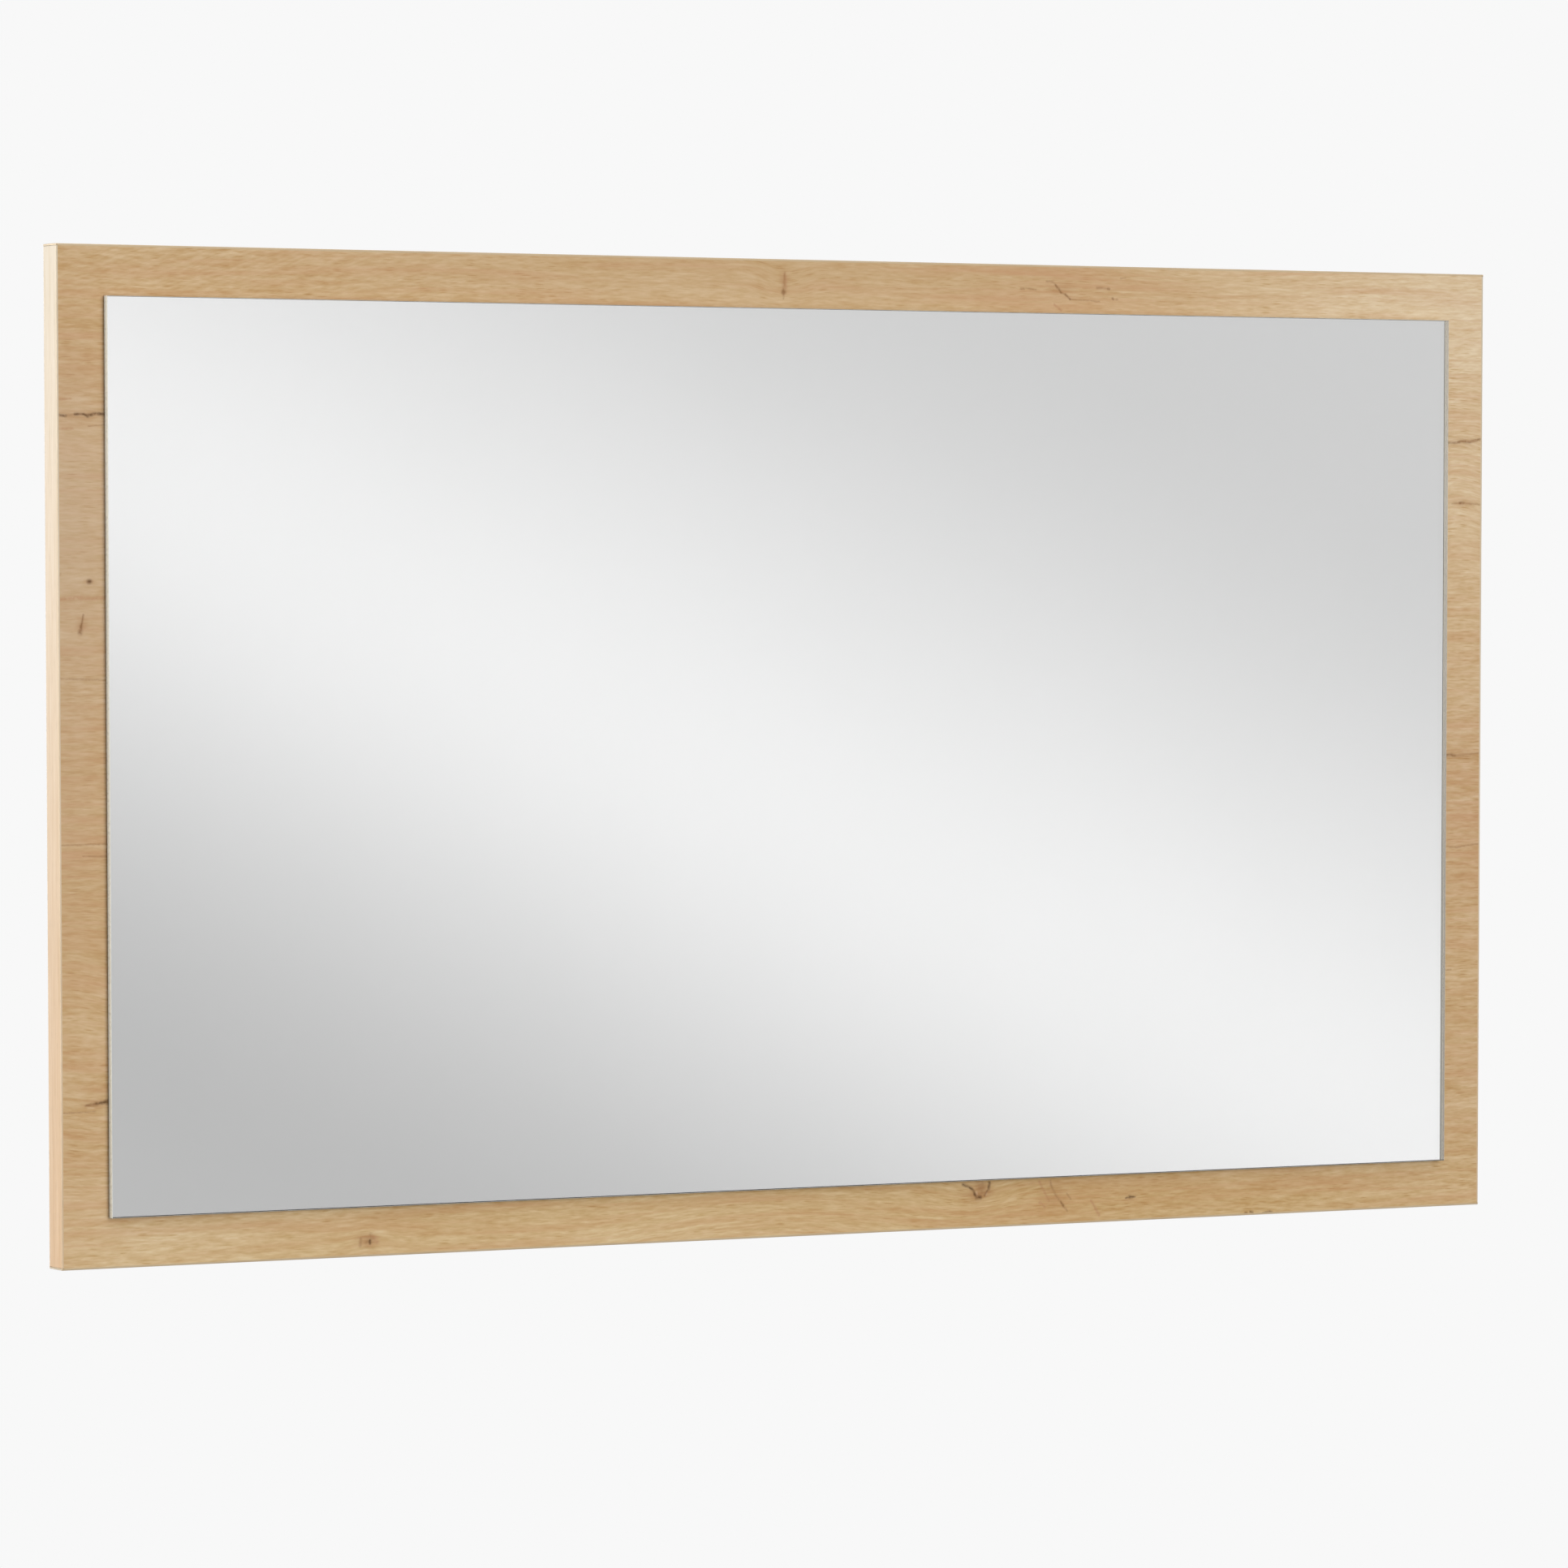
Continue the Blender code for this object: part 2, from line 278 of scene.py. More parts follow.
# the board's printed oak; places are in millimetres from the board's centre, x to the right and z up
oakLook = {
    # tones of the print, from its darkest fibres to its palest, and where on that scale the board lies
    "tones": [(0.0, (146, 100, 60)), (0.2, (172, 130, 84)), (0.4, (190, 154, 108)), (0.7, (215, 189, 155)),
              (1.0, (236, 220, 196))],
    "basePaleness": 0.53, "palenessSpread": 0.16,
    "warmTint": (1.0, 0.985, 0.84, 1.0), "baseWarmth": 0.35,
    "warmPatches": [(0, -320, 860, 110, 1.15), (-500, 120, 90, 210, -0.65), (490, -40, 60, 130, -0.35)],
    "greyTone": (196, 172, 145),
    "greyPatches": [(-500, 130, 90, 150, 0.45), (-500, -30, 70, 150, 0.2), (-60, 300, 420, 60, 0.08)],
    "russetTone": (196, 149, 112), "baseRusset": 0.1, "russetSpread": 0.9, "russetStrength": 0.8,
    "russetPatches": [(175, 300, 130, 60, 0.3), (-490, -60, 60, 110, 0.2), (490, -60, 60, 90, 0.15),
                      (190, -275, 60, 40, 0.2)],
    "tonePatches": [  # x, z, reach along x, reach along z, how much paler
        (500, 300, 330, 330, 0.23), (470, 120, 90, 90, 0.05), (-490, 170, 120, 60, 0.04),
        (-490, -175, 120, 60, 0.06), (-440, -290, 240, 70, 0.13), (-130, -300, 160, 60, 0.08),
        (0, -320, 900, 110, 0.07), (260, -290, 220, 60, -0.08), (490, -60, 90, 90, -0.04),
        (-500, 0, 60, 500, -0.05),
    ],
    "swells": [  # x, z, reach along x, reach along z, how far the grain is lifted
        (-30, -330, 150, 70, 26), (480, 165, 60, 75, 14), (-470, -215, 90, 60, -12),
        (-500, -130, 60, 50, 8), (118, -276, 50, 26, -7), (-299, -291, 30, 16, 3),
        (-15, 286, 30, 26, -5), (300, 310, 160, 40, -8),
    ],
    "flowBend": 9.0, "slowWaves": (2.6, 60.0, 8.0), "fineBend": 1.2, "quickWaves": (28.0, 60.0, 70.0),
    "bandStrength": 0.09, "streakStrength": 0.13, "fibreStrength": 0.27, "poreStrength": 0.29,
    "calmPatches": [(0, 320, 900, 150, -0.34), (-500, 0, 90, 700, -0.12)],
    "fleckStrength": 0.10, "strayFlecks": 0.12, "fleckSlant": 17,
    "fleckPatches": [(-400, 300, 260, 75, 1.0), (470, 250, 90, 90, 0.6)],
    # each scale of the grain: its run along the fibres and its width across them, in metres
    "scales": {
        "stretches": {"run": 0.5, "across": 0.035, "layer": 3.0, "contrast": 1.1},
        "bands": {"run": 0.13, "across": 0.0075, "layer": 11.0, "contrast": 1.6},
        "streaks": {"run": 0.03, "across": 0.0030, "layer": 23.0, "contrast": 1.8},
        "fibres": {"run": 0.010, "across": 0.0015, "layer": 31.0, "contrast": 1.9},
        "pores": {"run": 0.011, "across": 0.0010, "layer": 5.0, "share": 0.5},
        "poreCrowds": {"size": 0.03, "layer": 2.0, "contrast": 2.4},
        "flecks": {"run": 0.012, "across": 0.0017, "layer": 47.0, "contrast": 3.2},
        "russet": {"run": 0.11, "across": 0.0040, "layer": 83.0, "contrast": 2.2},
        "pressedPores": {"run": 0.010, "across": 0.0009, "layer": 13.0, "share": 0.6},
        "linen": {"run": 0.008, "across": 0.0005, "layer": 53.0, "contrast": 2.0},
    },
    # a mark is strokeSpread times its drawn width, and its edge wanders by half of raggedReach at most
    "strokeSpread": 1.35 * mm, "raggedReach": 0.7 * mm, "raggedScale": 520.0,
    "haloTone": (170, 122, 80), "strongestHalo": 0.8,
    "chipTones": ((150, 118, 80), (214, 188, 148)), "chipStretch": (420.0, 900.0, 620.0),
    "roughness": 0.52, "chipRoughness": 0.35, "poreDepth": 0.00006,
}
oakMarks = {
    "pale": {  # bark caught in a knot
        "colour": (216, 188, 158), "strength": 0.5,
        "runs": [
            [(122.5, -277.5, 1.0), (123, -279, 0.9)], [(130, -278, 0.9), (129.5, -279.5, 0.7)],
            [(-483, -205, 0.8), (-479, -205, 0.6)], [(484, 151.5, 0.7), (487, 151.5, 0.5)],
        ],
    },
    "reddish": {  # stained lines
        "colour": (180, 129, 92), "strength": 0.6,
        "runs": [
            [(-500, 93, 1.6), (-490, 94, 1.7), (-486, 94, 2.2), (-478, 93.5, 1.6), (-470, 94, 1.6)],
            [(-498, 209.5, 1.2), (-491, 210, 0.8)], [(-498, 192.5, 1.0), (-490, 192.5, 0.9)],
            [(168.5, -273, 1.1), (172, -279, 1.0), (175.5, -285, 0.9)],
            [(169, -286, 1.4), (172.5, -289, 1.0)],
            [(206.5, -286, 1.1), (212.5, -295.5, 1.3)], [(-14.5, 291, 1.2), (-14.5, 283, 2.0)],
            [(178, 275.5, 1.0), (183, 272, 1.0)], [(-297, -288.5, 1.6), (-294.5, -291.5, 1.9)],
        ],
    },
    "tan": {  # faint cracks and dark fibres
        "colour": (158, 119, 79), "strength": 0.62,
        "runs": [
            [(-494.5, 200, 1.0), (-488.5, 201, 0.8)], [(-480, 194, 0.6), (-469, 195, 0.8)],
            [(-499, 107.5, 1.2), (-498.5, 108, 1.0)], [(-499, 47, 0.9), (-485, 46.5, 0.9), (-470, 46, 0.9)],
            [(-500, -50.5, 0.7), (-470, -50, 0.9)], [(-485, -57, 0.6), (-470, -57.5, 1.0)],
            [(-499, -207.5, 0.7), (-478, -207, 0.7)],
            [(172.5, 290, 0.9), (177, 289.5, 1.0), (179, 287.5, 0.9)], [(183, 283, 0.9), (186, 282, 0.9)],
            [(154, 285, 1.1), (156, 285, 1.0)], [(157.5, 285.5, 0.9), (164.5, 284.5, 0.9)],
            [(189.5, 279, 0.6), (204, 278.5, 0.6), (208.5, 278, 0.9), (211, 278, 0.5)],
            [(209, 286.5, 1.2), (213, 286.5, 1.1), (217, 286, 0.9)], [(223, 279.5, 0.8), (224, 279.5, 0.8)],
            [(226.5, 292.5, 0.7), (230, 293, 0.7)],
            [(477, 153, 0.9), (483, 153.5, 1.0)], [(485.5, 153.5, 0.9), (491, 153, 0.8), (500, 152.5, 1.0)],
            [(480, -9, 1.2), (487, -8.5, 1.1), (494, -8, 0.8), (499, -7.5, 1.1)],
            [(471, -67.5, 0.8), (482, -68, 1.0), (500, -66, 0.9)], [(472, -147.5, 1.1), (478, -147, 0.8)],
            [(176.5, -272.5, 1.1), (177, -275, 1.1), (180, -281, 1.1), (184, -286, 1.1)],
            [(186, -288.5, 1.1), (189, -292, 0.9)], [(188.5, -281, 0.8), (191.5, -284.5, 0.8)],
            [(-298.5, -287, 1.5), (-299, -290, 1.2)], [(-305, -289, 1.1), (-305.5, -293, 1.5)],
            [(126, -272.5, 4.6), (126.5, -277, 3.4)], [(-298, -290, 2.6), (-301, -291, 2.0)],
            [(-14.5, 292, 0.8), (-15, 285, 1.7), (-15.5, 276, 0.9)],
        ],
    },
    "brown": {  # cracks and small knots
        "colour": (128, 88, 52), "strength": 0.85,
        "runs": [
            [(-484, 84, 0.9), (-485, 79, 1.1), (-486, 73.5, 1.9)], [(-15.5, 280, 1.9), (-15, 280, 1.9)],
            [(471, 192, 1.2), (480, 192, 1.1), (484, 193, 1.1), (490, 192.5, 1.3), (500, 195, 1.0)],
            [(483, 153.5, 1.2), (485.5, 153.5, 1.2)], [(471, -8.5, 1.1), (477, -8.5, 1.5), (480, -9, 1.1)],
            [(179, 287.5, 0.9), (181, 285.5, 1.1), (183, 283, 0.9)], [(186, 282, 0.9), (189.5, 279, 0.8)],
            [(217, 286, 1.1), (218, 286, 1.1)], [(220.5, 280, 1.1), (221, 279.5, 1.0)],
            [(184, -286, 0.9), (186, -288.5, 1.1)], [(-484.5, -203.5, 0.8), (-477, -202.5, 1.7)],
            [(321.5, -298.5, 1.0), (322.5, -298.5, 1.0)], [(130.5, -277, 0.9), (128.5, -280, 0.9)],
        ],
    },
    "dark": {  # open cracks and the cores of knots
        "colour": (86, 56, 31), "strength": 0.92,
        "runs": [
            [(-500, 200.5, 1.1), (-494.5, 200, 1.1)],
            [(-488.5, 201, 1.1), (-483, 201, 0.9), (-480.5, 200, 1.4), (-475, 201.5, 1.2),
             (-469, 201, 1.3)],
            [(-480, 103.5, 1.9), (-479.5, 103.5, 1.8)], [(-477, -202.5, 0.9), (-469, -201.5, 2.2)],
            [(113, -272.5, 1.2), (117, -274, 1.2), (120, -276, 1.1), (122, -280, 1.3)],
            [(123, -281, 2.0), (125.5, -281, 1.7)], [(132, -272, 1.5), (131.5, -276, 1.3)],
            [(232, -285.5, 0.7), (235, -285, 1.5), (239, -285, 0.7)],
            [(325.5, -298, 1.0), (327, -298.5, 1.1)],
            [(334.5, -299, 0.6), (340, -298.5, 1.2), (342, -299, 1.0)],
            [(-299, -290.5, 1.0), (-299, -292, 1.3)],
        ],
    },
}
oakHalos = [  # x, z, reach along x, reach along z, strength: stained wood round knots and cracks
    (126, -276, 11, 9, 0.9), (124, -278, 20, 13, 0.55), (-300, -290.5, 13, 7.5, 0.95),
    (235.5, -285, 9, 4, 0.4), (-14.5, 286, 6, 11, 0.5), (183, 284, 16, 10, 0.35),
    (485, 192.5, 26, 5, 0.45), (486, 153.5, 18, 4, 0.4), (484, -8.5, 24, 6, 0.4),
    (180, -282, 16, 13, 0.4), (-476, -202.5, 16, 5, 0.6), (-484, 201, 28, 5, 0.45),
    (-480, 103.5, 6, 4, 0.5), (-485, 78, 6, 10, 0.45),
]
# the back face has its own run of the same decor, with knots and cracks of its own
backMarks = {
    "dark": [
        [(-212, 88, 1.2), (-190, 90, 2.0), (-171, 88.5, 1.0)], [(-186, 92, 4.2), (-184, 91.5, 3.6)],
        [(118, -142, 1.0), (150, -139, 1.6), (196, -141.5, 1.0)], [(262, 151, 3.2), (264, 150.6, 2.8)],
        [(-360, -188, 0.8), (-330, -187, 1.4), (-306, -189, 0.8)], [(-44, -26, 2.6), (-43, -26.2, 2.2)],
    ],
    "halos": [
        (-186, 91, 26, 12, 0.8), (158, -140, 44, 8, 0.4), (263, 151, 18, 11, 0.7), (-334, -188, 34, 7, 0.4),
        (-44, -26, 15, 9, 0.6),
    ],
    "swells": [
        (-186, 91, 120, 36, 16), (263, 151, 90, 30, -13), (-44, -26, 80, 26, 11), (40, -220, 300, 90, 34),
        (120, 300, 260, 110, -30),
    ],
    "tonePatches": [(-250, -80, 520, 90, 0.14), (330, 60, 420, 80, -0.10), (60, 240, 480, 60, 0.12)],
    "fleckPatches": [(-300, 160, 220, 90, 1.0), (310, -120, 240, 80, 0.8)],
}


def placeOf(x, z, y):
    return (x * mm, y, z * mm)


def drawRuns(tree, place, runs, y):
    # the strongest of all the strokes of these runs
    spread = oakLook["strokeSpread"]
    total = None
    for run in runs:
        for (x, z, width), (endX, endZ, endWidth) in zip(run, run[1:]):
            start = Vector(placeOf(x, z, y))
            along = Vector(placeOf(endX, endZ, y)) - start
            stroke = useGroup(
                tree, crackStroke, vector=place, start=start, along=along,
                unit=along / along.length_squared, width=width * spread,
                widening=(endWidth - width) * spread,
            ).outputs["Mask"]
            total = stroke if total is None else calc(tree, "MAXIMUM", total, stroke)
    return total


def addSpots(tree, place, spots, y):
    # sum of oval patches, each times its last number
    total = 0.0
    for x, z, reachX, reachZ, amount in spots:
        spot = useGroup(
            tree, softSpot, vector=place, centre=placeOf(x, z, y),
            reach=(reachX * mm, 0.004, reachZ * mm),
        ).outputs["Mask"]
        total = calc(tree, "MULTIPLY_ADD", spot, amount, total)
    return total


def bothFaces(tree, place, frontSpots, backSpots):
    front = addSpots(tree, place, frontSpots, frontY)
    back = addSpots(tree, place, backSpots, backY)
    return calc(tree, "ADD", front, back)


def bendGrain(tree, spot):
    # the lines of the grain bend slowly everywhere, and are lifted round knots
    waves = []
    for stretch in (oakLook["slowWaves"], oakLook["quickWaves"]):
        place = vectorCalc(tree, "MULTIPLY", spot, stretch)
        noise = put(tree, "ShaderNodeTexNoise", {"Vector": place, "Scale": 1.0, "Detail": 1.0})
        waves.append(noise.outputs[0])
    lift = calc(tree, "MULTIPLY", centred(tree, waves[0]), oakLook["flowBend"])
    lift = calc(tree, "MULTIPLY_ADD", centred(tree, waves[1]), oakLook["fineBend"], lift)
    lift = calc(tree, "ADD", bothFaces(tree, spot, oakLook["swells"], backMarks["swells"]), lift)
    rise = put(tree, "ShaderNodeCombineXYZ", {"Z": calc(tree, "MULTIPLY", lift, -mm)}).outputs["Vector"]
    return vectorCalc(tree, "ADD", spot, rise)


def drawMarks(tree, spot, streaks, wood):
    # stained wood round the knots, then the marks themselves, their edges a little ragged
    values = {"Vector": spot, "Scale": oakLook["raggedScale"], "Detail": 2.0}
    ragged = put(tree, "ShaderNodeTexNoise", values)
    shake = vectorCalc(tree, "SUBTRACT", ragged.outputs["Color"], (0.5, 0.5, 0.5))
    shake = vectorCalc(tree, "SCALE", shake, scale=oakLook["raggedReach"])
    place = vectorCalc(tree, "ADD", spot, vectorCalc(tree, "MULTIPLY", shake, (1.0, 0.0, 1.0)))
    halo = bothFaces(tree, place, oakHalos, backMarks["halos"])
    halo = calc(tree, "MULTIPLY", halo, remap(tree, streaks, 0.75, 0.3, 0.35, 1.0))
    halo = calc(tree, "MINIMUM", halo, oakLook["strongestHalo"])
    wood = blendColours(tree, halo, wood, linear(*oakLook["haloTone"]))
    for tone, marks in oakMarks.items():
        mark = drawRuns(tree, place, marks["runs"], frontY)
        if tone in backMarks:
            mark = calc(tree, "MAXIMUM", mark, drawRuns(tree, place, backMarks[tone], backY))
        patchy = remap(tree, ragged.outputs[0], 0.35, 0.6, 0.55, 1.0)
        mark = calc(tree, "MULTIPLY", mark, calc(tree, "MULTIPLY", patchy, marks["strength"]))
        wood = blendColours(tree, mark, wood, linear(*marks["colour"]))
    return wood


def makeChips(tree, spot):
    # bare chipboard: chips of two tones, darker towards their rims
    place = vectorCalc(tree, "MULTIPLY", spot, oakLook["chipStretch"])
    chips = put(tree, "ShaderNodeTexVoronoi", {"Vector": place, "Scale": 1.0})
    pick = put(tree, "ShaderNodeSeparateColor", {"Color": chips.outputs["Color"]}).outputs["Red"]
    darkChip, paleChip = oakLook["chipTones"]
    chip = blendColours(tree, pick, linear(*darkChip), linear(*paleChip))
    gap = remap(tree, chips.outputs["Distance"], 0.35, 0.75, 1.0, 0.55)
    return vectorCalc(tree, "SCALE", chip, scale=gap)


def unevenSheen(tree, streaks, roughness):
    # paler streaks shine a little more
    return remap(tree, streaks, 0.0, 1.0, roughness + 0.05, roughness - 0.05)


def makeOakDecor():
    material, tree, shader = newMaterial("oakDecor", linear(196, 165, 124))
    look, scales = oakLook, oakLook["scales"]
    spot = objectPlace(tree)
    grain = bendGrain(tree, spot)

    # paler and darker stretches of the board
    paleness = useGroup(tree, grainStreaks, vector=grain, **scales["stretches"]).outputs[0]
    paleness = centred(tree, paleness)
    paleness = calc(tree, "MULTIPLY_ADD", paleness, look["palenessSpread"], look["basePaleness"])
    patches = bothFaces(tree, spot, look["tonePatches"], backMarks["tonePatches"])
    paleness = calc(tree, "ADD", patches, paleness)

    # four scales of fibre, from bands to single pores
    bands = useGroup(tree, grainStreaks, vector=grain, **scales["bands"]).outputs[0]
    streaks = useGroup(tree, grainStreaks, vector=grain, **scales["streaks"]).outputs[0]
    fibres = useGroup(tree, grainStreaks, vector=grain, **scales["fibres"]).outputs[0]
    pores = useGroup(tree, poreDashes, vector=grain, **scales["pores"]).outputs[0]
    crowd = useGroup(tree, unevenness, vector=grain, **scales["poreCrowds"]).outputs[0]
    pore = calc(tree, "MULTIPLY", pores, crowd)
    value = calc(tree, "MULTIPLY", centred(tree, bands), look["bandStrength"])
    value = calc(tree, "MULTIPLY_ADD", centred(tree, streaks), look["streakStrength"], value)
    value = calc(tree, "MULTIPLY_ADD", centred(tree, fibres), look["fibreStrength"], value)
    value = calc(tree, "MULTIPLY_ADD", pore, -look["poreStrength"], value)
    calm = calc(tree, "ADD", addSpots(tree, spot, look["calmPatches"], frontY), 1.0)
    value = calc(tree, "MULTIPLY_ADD", value, calm, paleness)

    # silky flecks that cross the grain at a slant
    slant = {"Vector": spot, "Angle": math.radians(look["fleckSlant"])}
    turned = put(tree, "ShaderNodeVectorRotate", slant, rotation_type="Y_AXIS").outputs["Vector"]
    fleck = useGroup(tree, grainStreaks, vector=turned, **scales["flecks"]).outputs[0]
    where = bothFaces(tree, spot, look["fleckPatches"], backMarks["fleckPatches"])
    where = calc(tree, "ADD", where, look["strayFlecks"])
    fleck = calc(tree, "MULTIPLY", centred(tree, fleck), where)
    value = calc(tree, "MULTIPLY_ADD", fleck, look["fleckStrength"], value)
    tones = put(tree, "ShaderNodeValToRGB", {"Fac": value})
    setStops(tones.color_ramp, look["tones"])
    wood = tones.outputs["Color"]

    # redder stretches a few fibres thick, then warmer and greyer ones
    russet = useGroup(tree, grainStreaks, vector=grain, **scales["russet"]).outputs[0]
    russet = calc(tree, "MULTIPLY_ADD", centred(tree, russet), look["russetSpread"], look["baseRusset"])
    russet = calc(tree, "ADD", addSpots(tree, spot, look["russetPatches"], frontY), russet)
    russet = calc(tree, "MULTIPLY", russet, look["russetStrength"])
    wood = blendColours(tree, russet, wood, linear(*look["russetTone"]))
    warmth = calc(tree, "ADD", addSpots(tree, spot, look["warmPatches"], frontY), look["baseWarmth"])
    tint = blendColours(tree, warmth, (1.0, 1.0, 1.0, 1.0), look["warmTint"])
    wood = vectorCalc(tree, "MULTIPLY", wood, tint)
    greyness = addSpots(tree, spot, look["greyPatches"], frontY)
    wood = blendColours(tree, greyness, wood, linear(*look["greyTone"]))
    wood = drawMarks(tree, spot, streaks, wood)

    # bare chipboard inside the hanger pockets
    parts = put(tree, "ShaderNodeSeparateXYZ", {"Vector": spot}).outputs
    fromMiddle = calc(tree, "ABSOLUTE", calc(tree, "SUBTRACT", parts["Y"], middleY))
    inside = calc(tree, "LESS_THAN", fromMiddle, halfDepth - 0.02 * mm)
    feed(tree, shader.inputs["Base Color"], blendColours(tree, inside, wood, makeChips(tree, spot)))
    sheen = unevenSheen(tree, streaks, look["roughness"])
    sheen = calc(tree, "MULTIPLY_ADD", inside, look["chipRoughness"], sheen, clamp=True)
    feed(tree, shader.inputs["Roughness"], sheen)

    # pressed pore texture of the facing, which doesn't follow the print
    pressed = useGroup(tree, poreDashes, vector=spot, **scales["pressedPores"]).outputs[0]
    linen = useGroup(tree, grainStreaks, vector=spot, **scales["linen"]).outputs[0]
    height = calc(tree, "SUBTRACT", calc(tree, "MULTIPLY", linen, 0.3), pressed)
    addBump(tree, shader, height, 0.5, look["poreDepth"])
    shader.inputs["IOR"].default_value = 1.45
    shader.inputs["Specular IOR Level"].default_value = 0.3
    return material


nodes["backing_panel"].material_slots[0].material = makeOakDecor()
print("oak decor on the board")


# edge bands: the same oak print, much paler, with the grain along each band
bandLook = {
    "arris": 0.4 * mm, "arrisSteps": 3,
    "top": {"tone": (209, 200, 186), "darkTone": (196, 183, 162)},
    "foot": {"tone": (210, 180, 146), "darkTone": (194, 160, 124)},
    "level": {"tone": (200, 174, 134), "darkTone": (180, 150, 110)},
    "edgeTone": (214, 198, 170), "edgeStrength": 0.4, "cutTone": (210, 194, 168),
    "scales": {
        "streaks": {"run": 0.05, "across": 0.0012, "layer": 61.0, "contrast": 2.2},
        "bands": {"run": 0.22, "across": 0.005, "layer": 67.0, "contrast": 1.8},
        "pores": {"run": 0.009, "across": 0.0008, "layer": 8.0, "share": 0.35},
    },
    "roughness": 0.42, "fibreDepth": 0.00004,
}


def bandTone(tree, height, kind):
    if height is None:
        return linear(*bandLook["level"][kind])
    return blendColours(tree, height, linear(*bandLook["foot"][kind]), linear(*bandLook["top"][kind]))


def makeBandFinish(name, upright):
    material, tree, shader = newMaterial(name, linear(*bandLook["level"]["tone"]))
    scales = bandLook["scales"]
    spot = objectPlace(tree)
    parts = put(tree, "ShaderNodeSeparateXYZ", {"Vector": spot}).outputs
    # along the band becomes X, across it Z
    swap = {"X": parts["Z"] if upright else parts["X"], "Y": 0.0, "Z": parts["Y"]}
    place = put(tree, "ShaderNodeCombineXYZ", swap).outputs["Vector"]
    streaks = useGroup(tree, grainStreaks, vector=place, **scales["streaks"]).outputs[0]
    bands = useGroup(tree, grainStreaks, vector=place, **scales["bands"]).outputs[0]
    pores = useGroup(tree, poreDashes, vector=place, **scales["pores"]).outputs[0]
    mixed = calc(tree, "MULTIPLY_ADD", streaks, 0.5, calc(tree, "MULTIPLY", bands, 0.5))
    shade = remap(tree, mixed, 0.25, 0.8)
    # the upright bands are paler towards the top
    height = remap(tree, parts["Z"], panelLow.z, panelHigh.z) if upright else None
    tone = bandTone(tree, height, "tone")
    darkTone = bandTone(tree, height, "darkTone")
    wood = blendColours(tree, shade, darkTone, tone)
    if not upright:  # the cut ends show the paler core
        farOut = cadBounds[1].x - 0.02 * mm
        cut = calc(tree, "GREATER_THAN", calc(tree, "ABSOLUTE", parts["X"]), farOut)
        wood = blendColours(tree, cut, wood, linear(*bandLook["cutTone"]))
    wood = vectorCalc(tree, "SCALE", wood, scale=remap(tree, pores, 0.0, 1.0, 1.0, 0.9))
    # the front and back arrises are lighter
    fromMiddle = calc(tree, "ABSOLUTE", calc(tree, "SUBTRACT", parts["Y"], middleY))
    arris = remap(tree, fromMiddle, halfDepth - 1.1 * mm, halfDepth - 0.3 * mm, smooth=True)
    arris = calc(tree, "MULTIPLY", arris, bandLook["edgeStrength"])
    wood = blendColours(tree, arris, wood, linear(*bandLook["edgeTone"]))
    feed(tree, shader.inputs["Base Color"], wood)
    feed(tree, shader.inputs["Roughness"], unevenSheen(tree, streaks, bandLook["roughness"]))
    addBump(tree, shader, streaks, 0.35, bandLook["fibreDepth"])
    shader.inputs["Specular IOR Level"].default_value = 0.35
    return material


def finishPiece(piece, slotName, *replaced):
    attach(piece, rootBody)
    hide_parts(*replaced)


def meshObject(name, bm, *materials):
    mesh = bpy.data.meshes.new(name)
    bm.to_mesh(mesh)
    bm.free()
    for material in materials:
        mesh.materials.append(material)
    piece = bpy.data.objects.new(name, mesh)
    bpy.context.scene.collection.objects.link(piece)
    return piece


def boxMesh(low, high):
    bm = bmesh.new()
    bmesh.ops.create_cube(bm, size=1.0)
    bmesh.ops.scale(bm, vec=high - low, verts=bm.verts)
    bmesh.ops.translate(bm, vec=(low + high) / 2, verts=bm.verts)
    return bm


def makeEdgeBand(side, axis, outward, finish):
    # axis is the band's thin direction: 0 for the upright bands, 2 for the level ones
    low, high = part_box("edge_band_" + side)
    low, high = Vector(low), Vector(high)
    # glued tight to the board, and the upright bands tight between the level ones
    if outward > 0:
        low[axis] = panelHigh[axis]
    else:
        high[axis] = panelLow[axis]
    if axis == 0:
        low.z, high.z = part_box("edge_band_bottom")[1].z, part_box("edge_band_top")[0].z
    bm = boxMesh(low, high)
    outerPlace = high[axis] if outward > 0 else low[axis]
    rim = [e for e in bm.edges if all(abs(v.co[axis] - outerPlace) < 1e-6 for v in e.verts)]
    if axis == 0:  # the level bands cover these bands' ends, which stay square
        rim = [e for e in rim if abs(e.verts[0].co.z - e.verts[1].co.z) > 0.1]
    bmesh.ops.bevel(bm, geom=rim, offset=bandLook["arris"], segments=bandLook["arrisSteps"],
                    profile=0.5, affect="EDGES")
    piece = meshObject("edgeBand" + side.capitalize(), bm, finish)
    piece.data.shade_smooth()
    piece.data.set_sharp_from_angle(angle=math.radians(50))
    finishPiece(piece, "oak_edge_band", "edge_band_" + side)


uprightBandFinish = makeBandFinish("uprightBand", True)
levelBandFinish = makeBandFinish("levelBand", False)
makeEdgeBand("left", 0, -1, uprightBandFinish)
makeEdgeBand("right", 0, 1, uprightBandFinish)
makeEdgeBand("top", 2, 1, levelBandFinish)
makeEdgeBand("bottom", 2, -1, levelBandFinish)
print("edge bands in place")


# the mirror plate: clear float glass, its edge ground flat with a small arris
glassLook = {
    "arris": 0.2 * mm, "arrisSteps": 2,
    # the edge's back tone and its inner tone are painted shade
    "edgeTone": (198, 198, 189), "deepTone": (146, 142, 130), "innerShadeTone": (190, 182, 166),
    "silverTone": (246, 246, 246), "rimTone": (186, 187, 183), "rimWidth": 0.5 * mm, "rimStrength": 0.5,
    "groundRoughness": (0.22, 0.36), "backPaint": (150, 143, 130),
}


